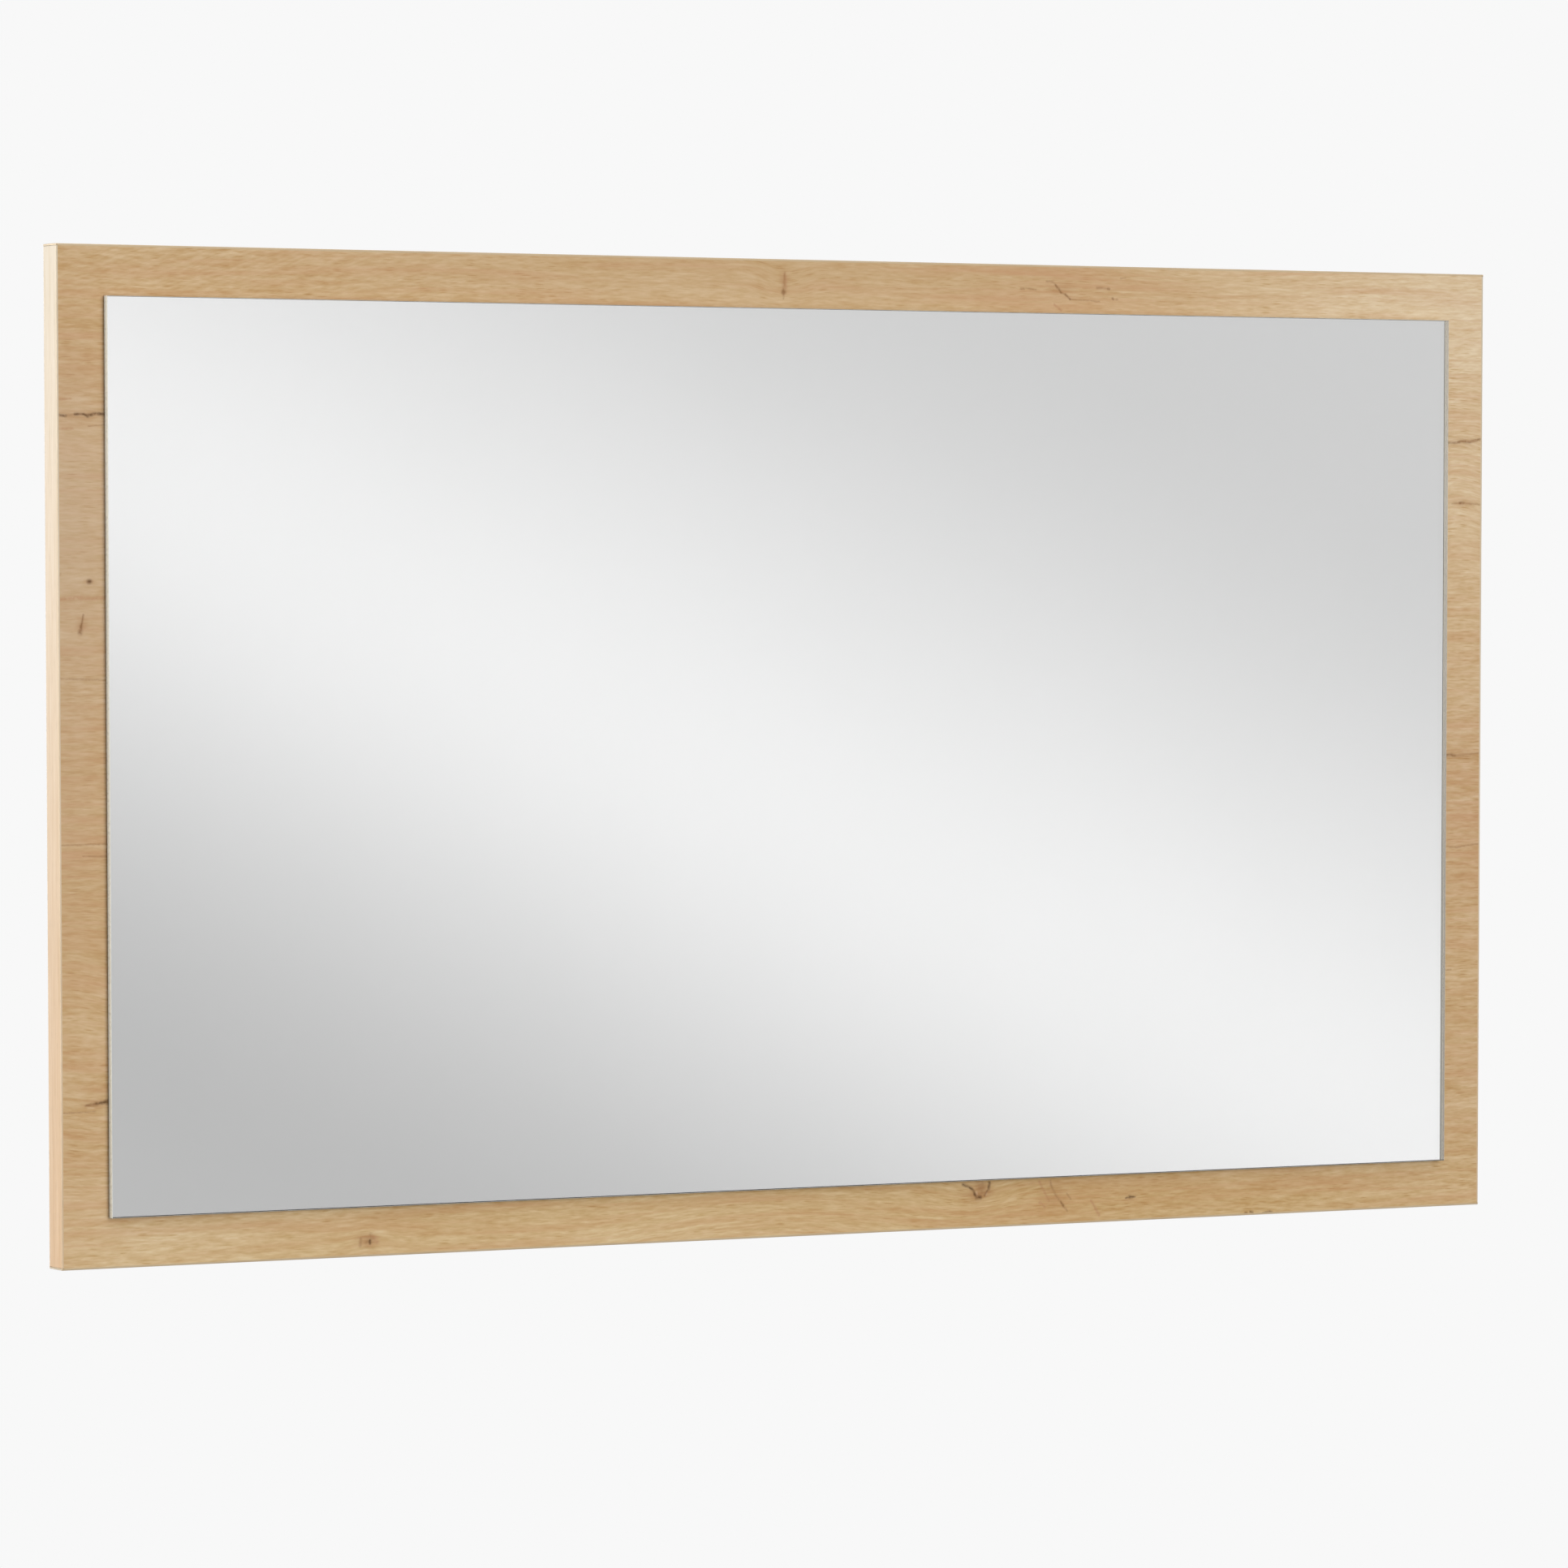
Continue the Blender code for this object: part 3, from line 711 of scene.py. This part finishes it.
def makeClearGlass():
    material, tree, shader = newMaterial("clearGlass", (0.9, 0.96, 0.93, 0.35))
    shader.inputs["Transmission Weight"].default_value = 1.0
    shader.inputs["IOR"].default_value = 1.5
    shader.inputs["Roughness"].default_value = 0.0
    spot = objectPlace(tree)
    haze = useGroup(tree, unevenness, vector=spot, size=0.12, layer=4.0, contrast=1.6).outputs[0]
    tint = blendColours(tree, haze, (0.990, 0.992, 0.991, 1.0), (0.998, 0.999, 0.999, 1.0))
    feed(tree, shader.inputs["Base Color"], tint)
    return material


def makeGroundEdge():
    # dull and greyish from outside, darker towards its back with painted shade; from inside the plate it
    # mirrors, as a glass edge does, through a dim warm tint that is painted shade
    material, tree, shader = newMaterial("groundGlassEdge", linear(*glassLook["edgeTone"]))
    spot = objectPlace(tree)
    parts = put(tree, "ShaderNodeSeparateXYZ", {"Vector": spot}).outputs
    # painted shade: the edge darkens from its front arris to its back, where it meets the board
    depth = remap(tree, parts["Y"], glassLow.y, glassHigh.y)
    tone = blendColours(tree, depth, linear(*glassLook["edgeTone"]), linear(*glassLook["deepTone"]))
    wheel = useGroup(tree, unevenness, vector=spot, size=0.0022, layer=9.0, contrast=2.0).outputs[0]
    tone = vectorCalc(tree, "SCALE", tone, scale=remap(tree, wheel, 0.0, 1.0, 0.94, 1.04))
    # from inside, the mirror is dimmed and warmed by a tint that is painted shade
    inside = put(tree, "ShaderNodeNewGeometry").outputs["Backfacing"]
    tone = blendColours(tree, inside, tone, linear(*glassLook["innerShadeTone"]))
    feed(tree, shader.inputs["Base Color"], tone)
    feed(tree, shader.inputs["Metallic"], inside)
    rough = remap(tree, wheel, 0.0, 1.0, *glassLook["groundRoughness"])
    outside = calc(tree, "SUBTRACT", 1.0, inside)
    feed(tree, shader.inputs["Roughness"], calc(tree, "MULTIPLY", rough, outside))
    return material


def makeSilvering():
    material, tree, shader = newMaterial("silvering", linear(*glassLook["silverTone"]))
    spot = objectPlace(tree)
    parts = put(tree, "ShaderNodeSeparateXYZ", {"Vector": spot}).outputs
    # the silver is thinner and duller along its rim
    rimWidth = glassLook["rimWidth"]
    sideways = calc(tree, "SUBTRACT", calc(tree, "ABSOLUTE", parts["X"]), filmHigh.x - rimWidth)
    upwards = calc(tree, "SUBTRACT", calc(tree, "ABSOLUTE", parts["Z"]), filmHigh.z - rimWidth)
    rim = remap(tree, calc(tree, "MAXIMUM", sideways, upwards), 0.0, rimWidth, smooth=True)
    ragged = useGroup(tree, unevenness, vector=spot, size=0.004, layer=14.0, contrast=2.0).outputs[0]
    rim = calc(tree, "MULTIPLY", rim, remap(tree, ragged, 0.0, 1.0, 0.5, 1.0))
    rim = calc(tree, "MULTIPLY", rim, glassLook["rimStrength"])
    silver = blendColours(tree, rim, linear(*glassLook["silverTone"]), linear(*glassLook["rimTone"]))
    # the sides and the face towards the board are protective paint
    painted = calc(tree, "GREATER_THAN", parts["Y"], filmLow.y + 0.01 * mm)
    tone = blendColours(tree, painted, silver, linear(*glassLook["backPaint"]))
    feed(tree, shader.inputs["Base Color"], tone)
    feed(tree, shader.inputs["Metallic"], calc(tree, "SUBTRACT", 1.0, painted))
    feed(tree, shader.inputs["Roughness"], calc(tree, "MULTIPLY", painted, 0.5))
    return material


def makeMirrorPlate():
    bm = boxMesh(glassLow, glassHigh)
    rim = [e for e in bm.edges if all(v.co.y < glassHigh.y - 1e-6 for v in e.verts)]
    bmesh.ops.bevel(bm, geom=rim, offset=glassLook["arris"], segments=glassLook["arrisSteps"],
                    profile=0.5, affect="EDGES")
    for face in bm.faces:
        face.material_index = 0 if abs(face.normal.y) > 0.999 else 1
    piece = meshObject("mirrorPlate", bm, makeClearGlass(), makeGroundEdge())
    finishPiece(piece, "float_glass", "mirror_glass")


makeMirrorPlate()
nodes["mirror_silver_film"].material_slots[0].material = makeSilvering()
print("mirror plate and silvering in place")


# helpers for geometry node trees
def geometryTree(name, inputs):
    tree = bpy.data.node_groups.new(name, "GeometryNodeTree")
    tree.interface.new_socket("Geometry", in_out="INPUT", socket_type="NodeSocketGeometry")
    for label, kind, value in inputs:
        socket = tree.interface.new_socket(label, in_out="INPUT", socket_type=kind)
        if value is not None:
            socket.default_value = value
    tree.interface.new_socket("Geometry", in_out="OUTPUT", socket_type="NodeSocketGeometry")
    return tree, tree.nodes.new("NodeGroupInput").outputs, tree.nodes.new("NodeGroupOutput").inputs


def geometryCalc(tree, operation, *values):
    node = put(tree, "ShaderNodeMath", operation=operation)
    for socket, value in zip(node.inputs, values):
        feed(tree, socket, value)
    return node.outputs[0]


def sweep(tree, path, profile):
    values = {"Curve": path, "Profile Curve": profile, "Fill Caps": True}
    return put(tree, "GeometryNodeCurveToMesh", values).outputs["Mesh"]


def finishTree(tree, placed, given, result):
    real = put(tree, "GeometryNodeRealizeInstances", {"Geometry": placed.outputs["Instances"]})
    coloured = {"Geometry": real.outputs["Geometry"], "Material": given["Material"]}
    coloured = put(tree, "GeometryNodeSetMaterial", coloured)
    feed(tree, result["Geometry"], coloured.outputs["Geometry"])


def runTree(name, tree, values, points):
    # a carrier mesh of bare points is given the tree, and its result becomes a plain mesh
    seed = bpy.data.meshes.new(name + "Points")
    seed.from_pydata(points, [], [])
    carrier = bpy.data.objects.new(name + "Carrier", seed)
    bpy.context.scene.collection.objects.link(carrier)
    modifier = carrier.modifiers.new(name, "NODES")
    modifier.node_group = tree
    sockets = {s.name: s.identifier for s in tree.interface.items_tree if s.in_out == "INPUT"}
    for label, value in values.items():
        modifier[sockets[label]] = value
    graph = bpy.context.evaluated_depsgraph_get()
    mesh = bpy.data.meshes.new_from_object(carrier.evaluated_get(graph), depsgraph=graph)
    carrier.modifiers.remove(modifier)
    bpy.data.objects.remove(carrier)
    bpy.data.meshes.remove(seed)
    mesh.name = name
    piece = bpy.data.objects.new(name, mesh)
    bpy.context.scene.collection.objects.link(piece)
    return piece


# foam tape: upright strips with rounded long edges
tapeLook = {
    "tone": (222, 222, 216), "shadeTone": (196, 196, 190), "bubbleScale": 3500.0, "bubbleDepth": 0.00008,
    "corner": 0.3 * mm, "cornerSteps": 3,
}


def makeFoam():
    material, tree, shader = newMaterial("foamTape", linear(*tapeLook["tone"]))
    spot = objectPlace(tree)
    bubbles = put(tree, "ShaderNodeTexVoronoi", {"Vector": spot, "Scale": tapeLook["bubbleScale"]})
    bubbles = bubbles.outputs["Distance"]
    cloud = useGroup(tree, unevenness, vector=spot, size=0.01, layer=21.0, contrast=1.5).outputs[0]
    mixed = calc(tree, "MULTIPLY_ADD", bubbles, 0.6, calc(tree, "MULTIPLY", cloud, 0.4))
    tone = blendColours(tree, mixed, linear(*tapeLook["shadeTone"]), linear(*tapeLook["tone"]))
    feed(tree, shader.inputs["Base Color"], tone)
    feed(tree, shader.inputs["Roughness"], remap(tree, bubbles, 0.0, 1.0, 0.9, 0.75))
    addBump(tree, shader, bubbles, 0.4, tapeLook["bubbleDepth"])
    return material


def makeTapeTree():
    tree, given, result = geometryTree("tapeStrips", [
        ("Width", "NodeSocketFloat", 0.025), ("Thickness", "NodeSocketFloat", 0.0008),
        ("Length", "NodeSocketFloat", 0.48), ("Corner", "NodeSocketFloat", 0.0003),
        ("Corner Steps", "NodeSocketInt", 3), ("Material", "NodeSocketMaterial", None),
    ])
    half = geometryCalc(tree, "DIVIDE", given["Length"], 2.0)
    bottom = put(tree, "ShaderNodeCombineXYZ", {"Z": geometryCalc(tree, "MULTIPLY", half, -1.0)}).outputs[0]
    top = put(tree, "ShaderNodeCombineXYZ", {"Z": half}).outputs[0]
    spine = put(tree, "GeometryNodeCurvePrimitiveLine", {"Start": bottom, "End": top}).outputs["Curve"]
    section = put(tree, "GeometryNodeCurvePrimitiveQuadrilateral",
                  {"Width": given["Width"], "Height": given["Thickness"]}).outputs["Curve"]
    rounded = put(tree, "GeometryNodeFilletCurve", mode="POLY")
    feed(tree, rounded.inputs["Curve"], section)
    feed(tree, rounded.inputs["Count"], given["Corner Steps"])
    feed(tree, rounded.inputs["Radius"], given["Corner"])
    strip = sweep(tree, spine, rounded.outputs["Curve"])
    placed = put(tree, "GeometryNodeInstanceOnPoints", {"Points": given["Geometry"], "Instance": strip})
    finishTree(tree, placed, given, result)
    return tree


def makeTapes():
    names = sorted(n for n in nodes if n.startswith("mounting_tape_"))
    boxes = [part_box(n) for n in names]
    low, high = boxes[0]
    size = high - low
    values = {"Width": size.x, "Thickness": size.y, "Length": size.z, "Corner": tapeLook["corner"],
              "Corner Steps": tapeLook["cornerSteps"], "Material": makeFoam()}
    piece = runTree("foamTapes", makeTapeTree(), values, [(lo + hi) / 2 for lo, hi in boxes])
    finishPiece(piece, "foam_tape", *names)
    print("foam tapes:", len(names), "strips,", len(piece.data.polygons), "faces")


makeTapes()


# zinc-plated hanger plates and their screws
zincLook = {
    "tone": (196, 199, 202), "dullTone": (158, 162, 167), "warmTone": (202, 198, 178),
    "tingeStrength": 0.3, "brushedAcross": 0.00012, "dullAcross": 0.0006, "lineDepth": 0.00002,
    "softEdge": 0.22 * mm, "softSteps": 2,
}
screwLook = {"coreShare": 0.72, "turns": 7}


def makeZinc(name, brushed):
    material, tree, shader = newMaterial(name, linear(*zincLook["tone"]))
    spot = objectPlace(tree)
    cloud = useGroup(tree, unevenness, vector=spot, size=0.006, layer=33.0, contrast=2.0).outputs[0]
    tinge = useGroup(tree, unevenness, vector=spot, size=0.014, layer=39.0, contrast=2.2).outputs[0]
    tone = blendColours(tree, cloud, linear(*zincLook["dullTone"]), linear(*zincLook["tone"]))
    tinge = calc(tree, "MULTIPLY", tinge, zincLook["tingeStrength"])
    tone = blendColours(tree, tinge, tone, linear(*zincLook["warmTone"]))
    across = zincLook["brushedAcross" if brushed else "dullAcross"]
    lines = useGroup(tree, grainStreaks, vector=spot, run=0.02, across=across, layer=71.0, contrast=2.0)
    lines = lines.outputs[0]
    feed(tree, shader.inputs["Base Color"], tone)
    shader.inputs["Metallic"].default_value = 1.0
    rough = calc(tree, "MULTIPLY_ADD", lines, 0.12, remap(tree, cloud, 0.0, 1.0, 0.34, 0.22))
    feed(tree, shader.inputs["Roughness"], rough)
    addBump(tree, shader, lines, 0.25, zincLook["lineDepth"])
    return material


def makeHangerPlate(side, finish):
    # the pressed plate keeps its outline and holes and gets soft edges
    node = "hanger_plate_" + side
    bm = bmesh.new()
    bm.from_mesh(nodes[node].data)
    bmesh.ops.remove_doubles(bm, verts=bm.verts, dist=1e-6)
    bmesh.ops.dissolve_limit(bm, angle_limit=math.radians(2), verts=bm.verts, edges=bm.edges)
    bmesh.ops.recalc_face_normals(bm, faces=bm.faces)
    sharp = [e for e in bm.edges if len(e.link_faces) == 2 and e.calc_face_angle() > math.radians(30)
             and abs(abs(e.link_faces[0].normal.y) - abs(e.link_faces[1].normal.y)) > 0.2]
    bmesh.ops.bevel(bm, geom=sharp, offset=zincLook["softEdge"], segments=zincLook["softSteps"],
                    profile=0.5, affect="EDGES", clamp_overlap=True)
    piece = meshObject("hangerPlate" + side.capitalize(), bm, finish)
    piece.data.shade_smooth()
    piece.data.set_sharp_from_angle(angle=math.radians(40))
    finishPiece(piece, "zinc_steel", node)


plateFinish = makeZinc("platedSteel", True)
makeHangerPlate("left", plateFinish)
makeHangerPlate("right", plateFinish)
print("hanger plates in place")


def makeScrewTree():
    # one countersunk screw, head face on Z = 0 and point downwards, then a copy on each point
    tree, given, result = geometryTree("screws", [
        ("Head Radius", "NodeSocketFloat", 0.0035), ("Core Radius", "NodeSocketFloat", 0.0012),
        ("Thread Radius", "NodeSocketFloat", 0.0017), ("Length", "NodeSocketFloat", 0.0125),
        ("Rim", "NodeSocketFloat", 0.0003), ("Point", "NodeSocketFloat", 0.003),
        ("Turns", "NodeSocketFloat", 7.0), ("Ridge", "NodeSocketFloat", 0.0004),
        ("Drive Length", "NodeSocketFloat", 0.004), ("Drive Width", "NodeSocketFloat", 0.0009),
        ("Drive Depth", "NodeSocketFloat", 0.0012), ("Turn", "NodeSocketVector", (0.0, 0.0, 0.0)),
        ("Material", "NodeSocketMaterial", None),
    ])

    def lower(geometry, z):
        offset = put(tree, "ShaderNodeCombineXYZ", {"Z": z}).outputs[0]
        moved = put(tree, "GeometryNodeTransform", {"Geometry": geometry, "Translation": offset})
        return moved.outputs["Geometry"]

    def cone(topRadius, bottomRadius, depth):
        values = {"Vertices": 32, "Radius Top": topRadius, "Radius Bottom": bottomRadius, "Depth": depth}
        return put(tree, "GeometryNodeMeshCone", values).outputs["Mesh"]

    def minus(value):
        return geometryCalc(tree, "MULTIPLY", value, -1.0)

    slope = geometryCalc(tree, "SUBTRACT", given["Head Radius"], given["Core Radius"])
    neckZ = minus(geometryCalc(tree, "ADD", slope, given["Rim"]))
    shank = geometryCalc(tree, "SUBTRACT", given["Length"], given["Point"])
    shank = geometryCalc(tree, "SUBTRACT", shank, slope)
    shank = geometryCalc(tree, "SUBTRACT", shank, given["Rim"])
    tipZ = minus(given["Length"])
    head = lower(cone(given["Head Radius"], given["Core Radius"], slope), neckZ)
    rim = lower(cone(given["Head Radius"], given["Head Radius"], given["Rim"]), minus(given["Rim"]))
    stem = lower(cone(given["Core Radius"], given["Core Radius"], shank),
                 geometryCalc(tree, "ADD", tipZ, given["Point"]))
    point = lower(cone(given["Core Radius"], 0.0, given["Point"]), tipZ)

    # thread: a fine ridge wound round the core
    pitchRun = geometryCalc(tree, "MULTIPLY", shank, 0.9)
    helix = put(tree, "GeometryNodeCurveSpiral", {
        "Resolution": 16, "Rotations": given["Turns"], "Start Radius": given["Thread Radius"],
        "End Radius": given["Thread Radius"], "Height": pitchRun})
    threadLine = lower(helix.outputs["Curve"], geometryCalc(tree, "ADD", tipZ, given["Point"]))
    ridge = put(tree, "GeometryNodeCurvePrimitiveCircle", {"Resolution": 4, "Radius": given["Ridge"]})
    thread = sweep(tree, threadLine, ridge.outputs["Curve"])
    parts = put(tree, "GeometryNodeMeshBoolean", operation="UNION")
    for part in (head, rim, stem, point):
        tree.links.new(part, parts.inputs["Mesh 2"])

    # cross recess
    arms = []
    for swapped in (False, True):
        size = {"X": given["Drive Length"], "Y": given["Drive Width"],
                "Z": geometryCalc(tree, "MULTIPLY", given["Drive Depth"], 2.0)}
        if swapped:
            size["X"], size["Y"] = size["Y"], size["X"]
        size = put(tree, "ShaderNodeCombineXYZ", size).outputs[0]
        arms.append(put(tree, "GeometryNodeMeshCube", {"Size": size}).outputs["Mesh"])
    cut = put(tree, "GeometryNodeMeshBoolean", {"Mesh 1": parts.outputs["Mesh"]}, operation="DIFFERENCE")
    for arm in arms:
        tree.links.new(arm, cut.inputs["Mesh 2"])
    whole = put(tree, "GeometryNodeJoinGeometry")
    tree.links.new(cut.outputs["Mesh"], whole.inputs["Geometry"])
    tree.links.new(thread, whole.inputs["Geometry"])
    values = {"Points": given["Geometry"], "Instance": whole.outputs["Geometry"]}
    placed = put(tree, "GeometryNodeInstanceOnPoints", values)
    turnNode = put(tree, "FunctionNodeEulerToRotation", {"Euler": given["Turn"]})
    tree.links.new(turnNode.outputs[0], placed.inputs["Rotation"])
    finishTree(tree, placed, given, result)
    return tree


def makeScrews():
    names = sorted(n for n in nodes if n.startswith("hanger_screw_"))
    boxes = [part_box(n) for n in names]
    points = [((lo.x + hi.x) / 2, hi.y, (lo.z + hi.z) / 2) for lo, hi in boxes]
    low, high = boxes[0]
    headRadius = (high.x - low.x) / 2
    threadRadius = headRadius / 2
    values = {
        "Head Radius": headRadius, "Core Radius": threadRadius * screwLook["coreShare"],
        "Thread Radius": threadRadius * screwLook["coreShare"], "Length": high.y - low.y,
        "Turns": float(screwLook["turns"]), "Ridge": threadRadius * (1 - screwLook["coreShare"]),
        "Turn": (-math.pi / 2, 0.0, 0.0), "Material": makeZinc("screwZinc", False),
    }
    piece = runTree("hangerScrews", makeScrewTree(), values, points)
    piece.data.shade_smooth()
    piece.data.set_sharp_from_angle(angle=math.radians(30))
    finishPiece(piece, "zinc_steel", *names)
    print("screws:", len(names), "with", len(piece.data.polygons), "faces")


makeScrews()


# studio: a pale floor, soft surroundings, a wide light from the front and a lamp for the left edge
studio = {
    "backdrop": 0.939, "floorTones": (0.80, 0.84),
    "ambient": 0.335, "ambientSlope": (0.20, 0.0, 0.60), "leastAmbient": 0.14, "behind": 0.6,
    "floorHeight": -1.2, "floorReach": 5.0,
    "sunFrom": (0.1, -1.0, 0.08), "sunSoftness": 36.0, "sunPower": 1.72,
    "sideFrom": (-2.1, -0.02, 0.45), "sideAim": (-0.5, -0.02, 0.1), "sideSize": 0.2, "sidePower": 29.5,
}
# how bright the mirror's surroundings are along a slanting line, and the line itself
mirrorSky = {
    "offset": 1.31, "sideways": -2.79, "upwards": -4.81, "span": 0.94,
    "from": -0.42, "to": 0.55, "gain": 1.105,
    "steps": [(-0.42, 205), (-0.28, 206), (-0.19, 213), (-0.1, 224), (0.0, 236), (0.09, 242), (0.17, 238),
              (0.26, 222), (0.35, 204), (0.43, 191), (0.5, 186), (0.55, 187)],
}


def makeFloor():
    # seen from above it glows like the backdrop, and from below it is clear
    material, tree, shader = newMaterial("paleFloor", (0.94, 0.94, 0.94, 1.0))
    spot = objectPlace(tree)
    wear = useGroup(tree, unevenness, vector=spot, size=0.6, layer=1.0, contrast=0.4).outputs[0]
    low, high = [(tone, tone, tone, 1.0) for tone in studio["floorTones"]]
    feed(tree, shader.inputs["Base Color"], blendColours(tree, wear, low, high))
    shader.inputs["Roughness"].default_value = 0.8
    white = (1.0, 1.0, 1.0, 1.0)
    glow = put(tree, "ShaderNodeEmission", {"Color": white, "Strength": studio["backdrop"]})
    clear = put(tree, "ShaderNodeBsdfTransparent")
    rays = put(tree, "ShaderNodeLightPath")
    seen = put(tree, "ShaderNodeMixShader", {"Fac": rays.outputs["Is Camera Ray"]})
    tree.links.new(shader.outputs["BSDF"], seen.inputs[1])
    tree.links.new(glow.outputs["Emission"], seen.inputs[2])
    below = put(tree, "ShaderNodeNewGeometry").outputs["Backfacing"]
    whole = put(tree, "ShaderNodeMixShader", {"Fac": below})
    tree.links.new(seen.outputs[0], whole.inputs[1])
    tree.links.new(clear.outputs[0], whole.inputs[2])
    tree.links.new(whole.outputs[0], tree.nodes["Material Output"].inputs["Surface"])
    bm = bmesh.new()
    bmesh.ops.create_grid(bm, x_segments=1, y_segments=1, size=studio["floorReach"])
    bmesh.ops.translate(bm, vec=(0.0, 0.0, studio["floorHeight"]), verts=bm.verts)
    floor = meshObject("studioFloor", bm, material)
    floor.visible_diffuse = False
    floor.visible_glossy = False
    floor.visible_transmission = False


def makeWorld():
    world = bpy.data.worlds.new("studioWorld")
    bpy.context.scene.world = world
    world.use_nodes = True
    tree = world.node_tree
    direction = put(tree, "ShaderNodeTexCoord").outputs["Generated"]
    way = put(tree, "ShaderNodeSeparateXYZ", {"Vector": direction}).outputs
    line = calc(tree, "MULTIPLY_ADD", way["X"], mirrorSky["sideways"], mirrorSky["offset"])
    line = calc(tree, "MULTIPLY_ADD", way["Z"], mirrorSky["upwards"], line)
    line = calc(tree, "DIVIDE", line, mirrorSky["span"])
    reach = mirrorSky["to"] - mirrorSky["from"]
    line = calc(tree, "PINGPONG", calc(tree, "SUBTRACT", line, mirrorSky["from"]), reach)
    ramp = put(tree, "ShaderNodeValToRGB", {"Fac": calc(tree, "DIVIDE", line, reach)})
    ramp.color_ramp.interpolation = "B_SPLINE"
    setStops(ramp.color_ramp, [((place - mirrorSky["from"]) / reach, (level,) * 3)
                               for place, level in mirrorSky["steps"]])
    reflected = vectorCalc(tree, "SCALE", ramp.outputs["Color"], scale=mirrorSky["gain"])
    rays = put(tree, "ShaderNodeLightPath").outputs
    seenInGlass = calc(tree, "MAXIMUM", rays["Is Glossy Ray"], rays["Is Transmission Ray"])
    # brighter overhead and to the right than from below, and brighter again behind the board
    ambient = vectorCalc(tree, "DOT_PRODUCT", direction, studio["ambientSlope"])
    ambient = calc(tree, "ADD", ambient, studio["ambient"])
    ambient = calc(tree, "MAXIMUM", ambient, studio["leastAmbient"])
    backward = calc(tree, "MAXIMUM", way["Y"], 0.0)
    ambient = calc(tree, "MULTIPLY_ADD", backward, studio["behind"], ambient)
    grey = dict.fromkeys(("Red", "Green", "Blue"), ambient)
    ambient = put(tree, "ShaderNodeCombineColor", grey).outputs[0]
    backdrop = (studio["backdrop"],) * 3 + (1.0,)
    light = blendColours(tree, seenInGlass, ambient, reflected)
    light = blendColours(tree, rays["Is Camera Ray"], light, backdrop)
    feed(tree, tree.nodes["Background"].inputs["Color"], light)


def placeLight(name, lamp, place, aim):
    light = bpy.data.objects.new(name, lamp)
    light.location = place
    light.rotation_euler = (Vector(aim) - Vector(place)).to_track_quat("-Z", "Y").to_euler()
    light.visible_camera = False
    light.visible_glossy = False
    light.visible_transmission = False
    bpy.context.scene.collection.objects.link(light)


def makeLights():
    # a wide soft light from the front
    sun = bpy.data.lights.new("frontLight", "SUN")
    sun.energy = studio["sunPower"]
    sun.angle = math.radians(studio["sunSoftness"])
    placeLight("frontLight", sun, studio["sunFrom"], (0.0, 0.0, 0.0))
    # a lamp level with the board, which reaches little but its left edge
    lamp = bpy.data.lights.new("sideLight", "AREA")
    lamp.energy = studio["sidePower"]
    lamp.shape = "DISK"
    lamp.size = studio["sideSize"]
    placeLight("sideLight", lamp, studio["sideFrom"], studio["sideAim"])


makeFloor()
makeWorld()
makeLights()
bpy.context.scene.view_settings.view_transform = "Standard"
print("studio ready")


# camera well to the left of the board and a little above its middle, looking slightly down
cameraLook = {
    "place": (-2.367, -4.2384, 0.1087), "yaw": 29.13, "pitch": 3.82,
    "lens": 180.49, "sensor": 36.0, "rise": 0.2,
}


def makeCamera():
    data = bpy.data.cameras.new("camera")
    data.lens = cameraLook["lens"]
    data.sensor_width = cameraLook["sensor"]
    data.shift_y = cameraLook["rise"]
    camera = bpy.data.objects.new("camera", data)
    camera.location = cameraLook["place"]
    camera.rotation_euler = (math.radians(90 - cameraLook["pitch"]), 0.0, -math.radians(cameraLook["yaw"]))
    bpy.context.scene.collection.objects.link(camera)
    bpy.context.scene.camera = camera


makeCamera()

print("finished")
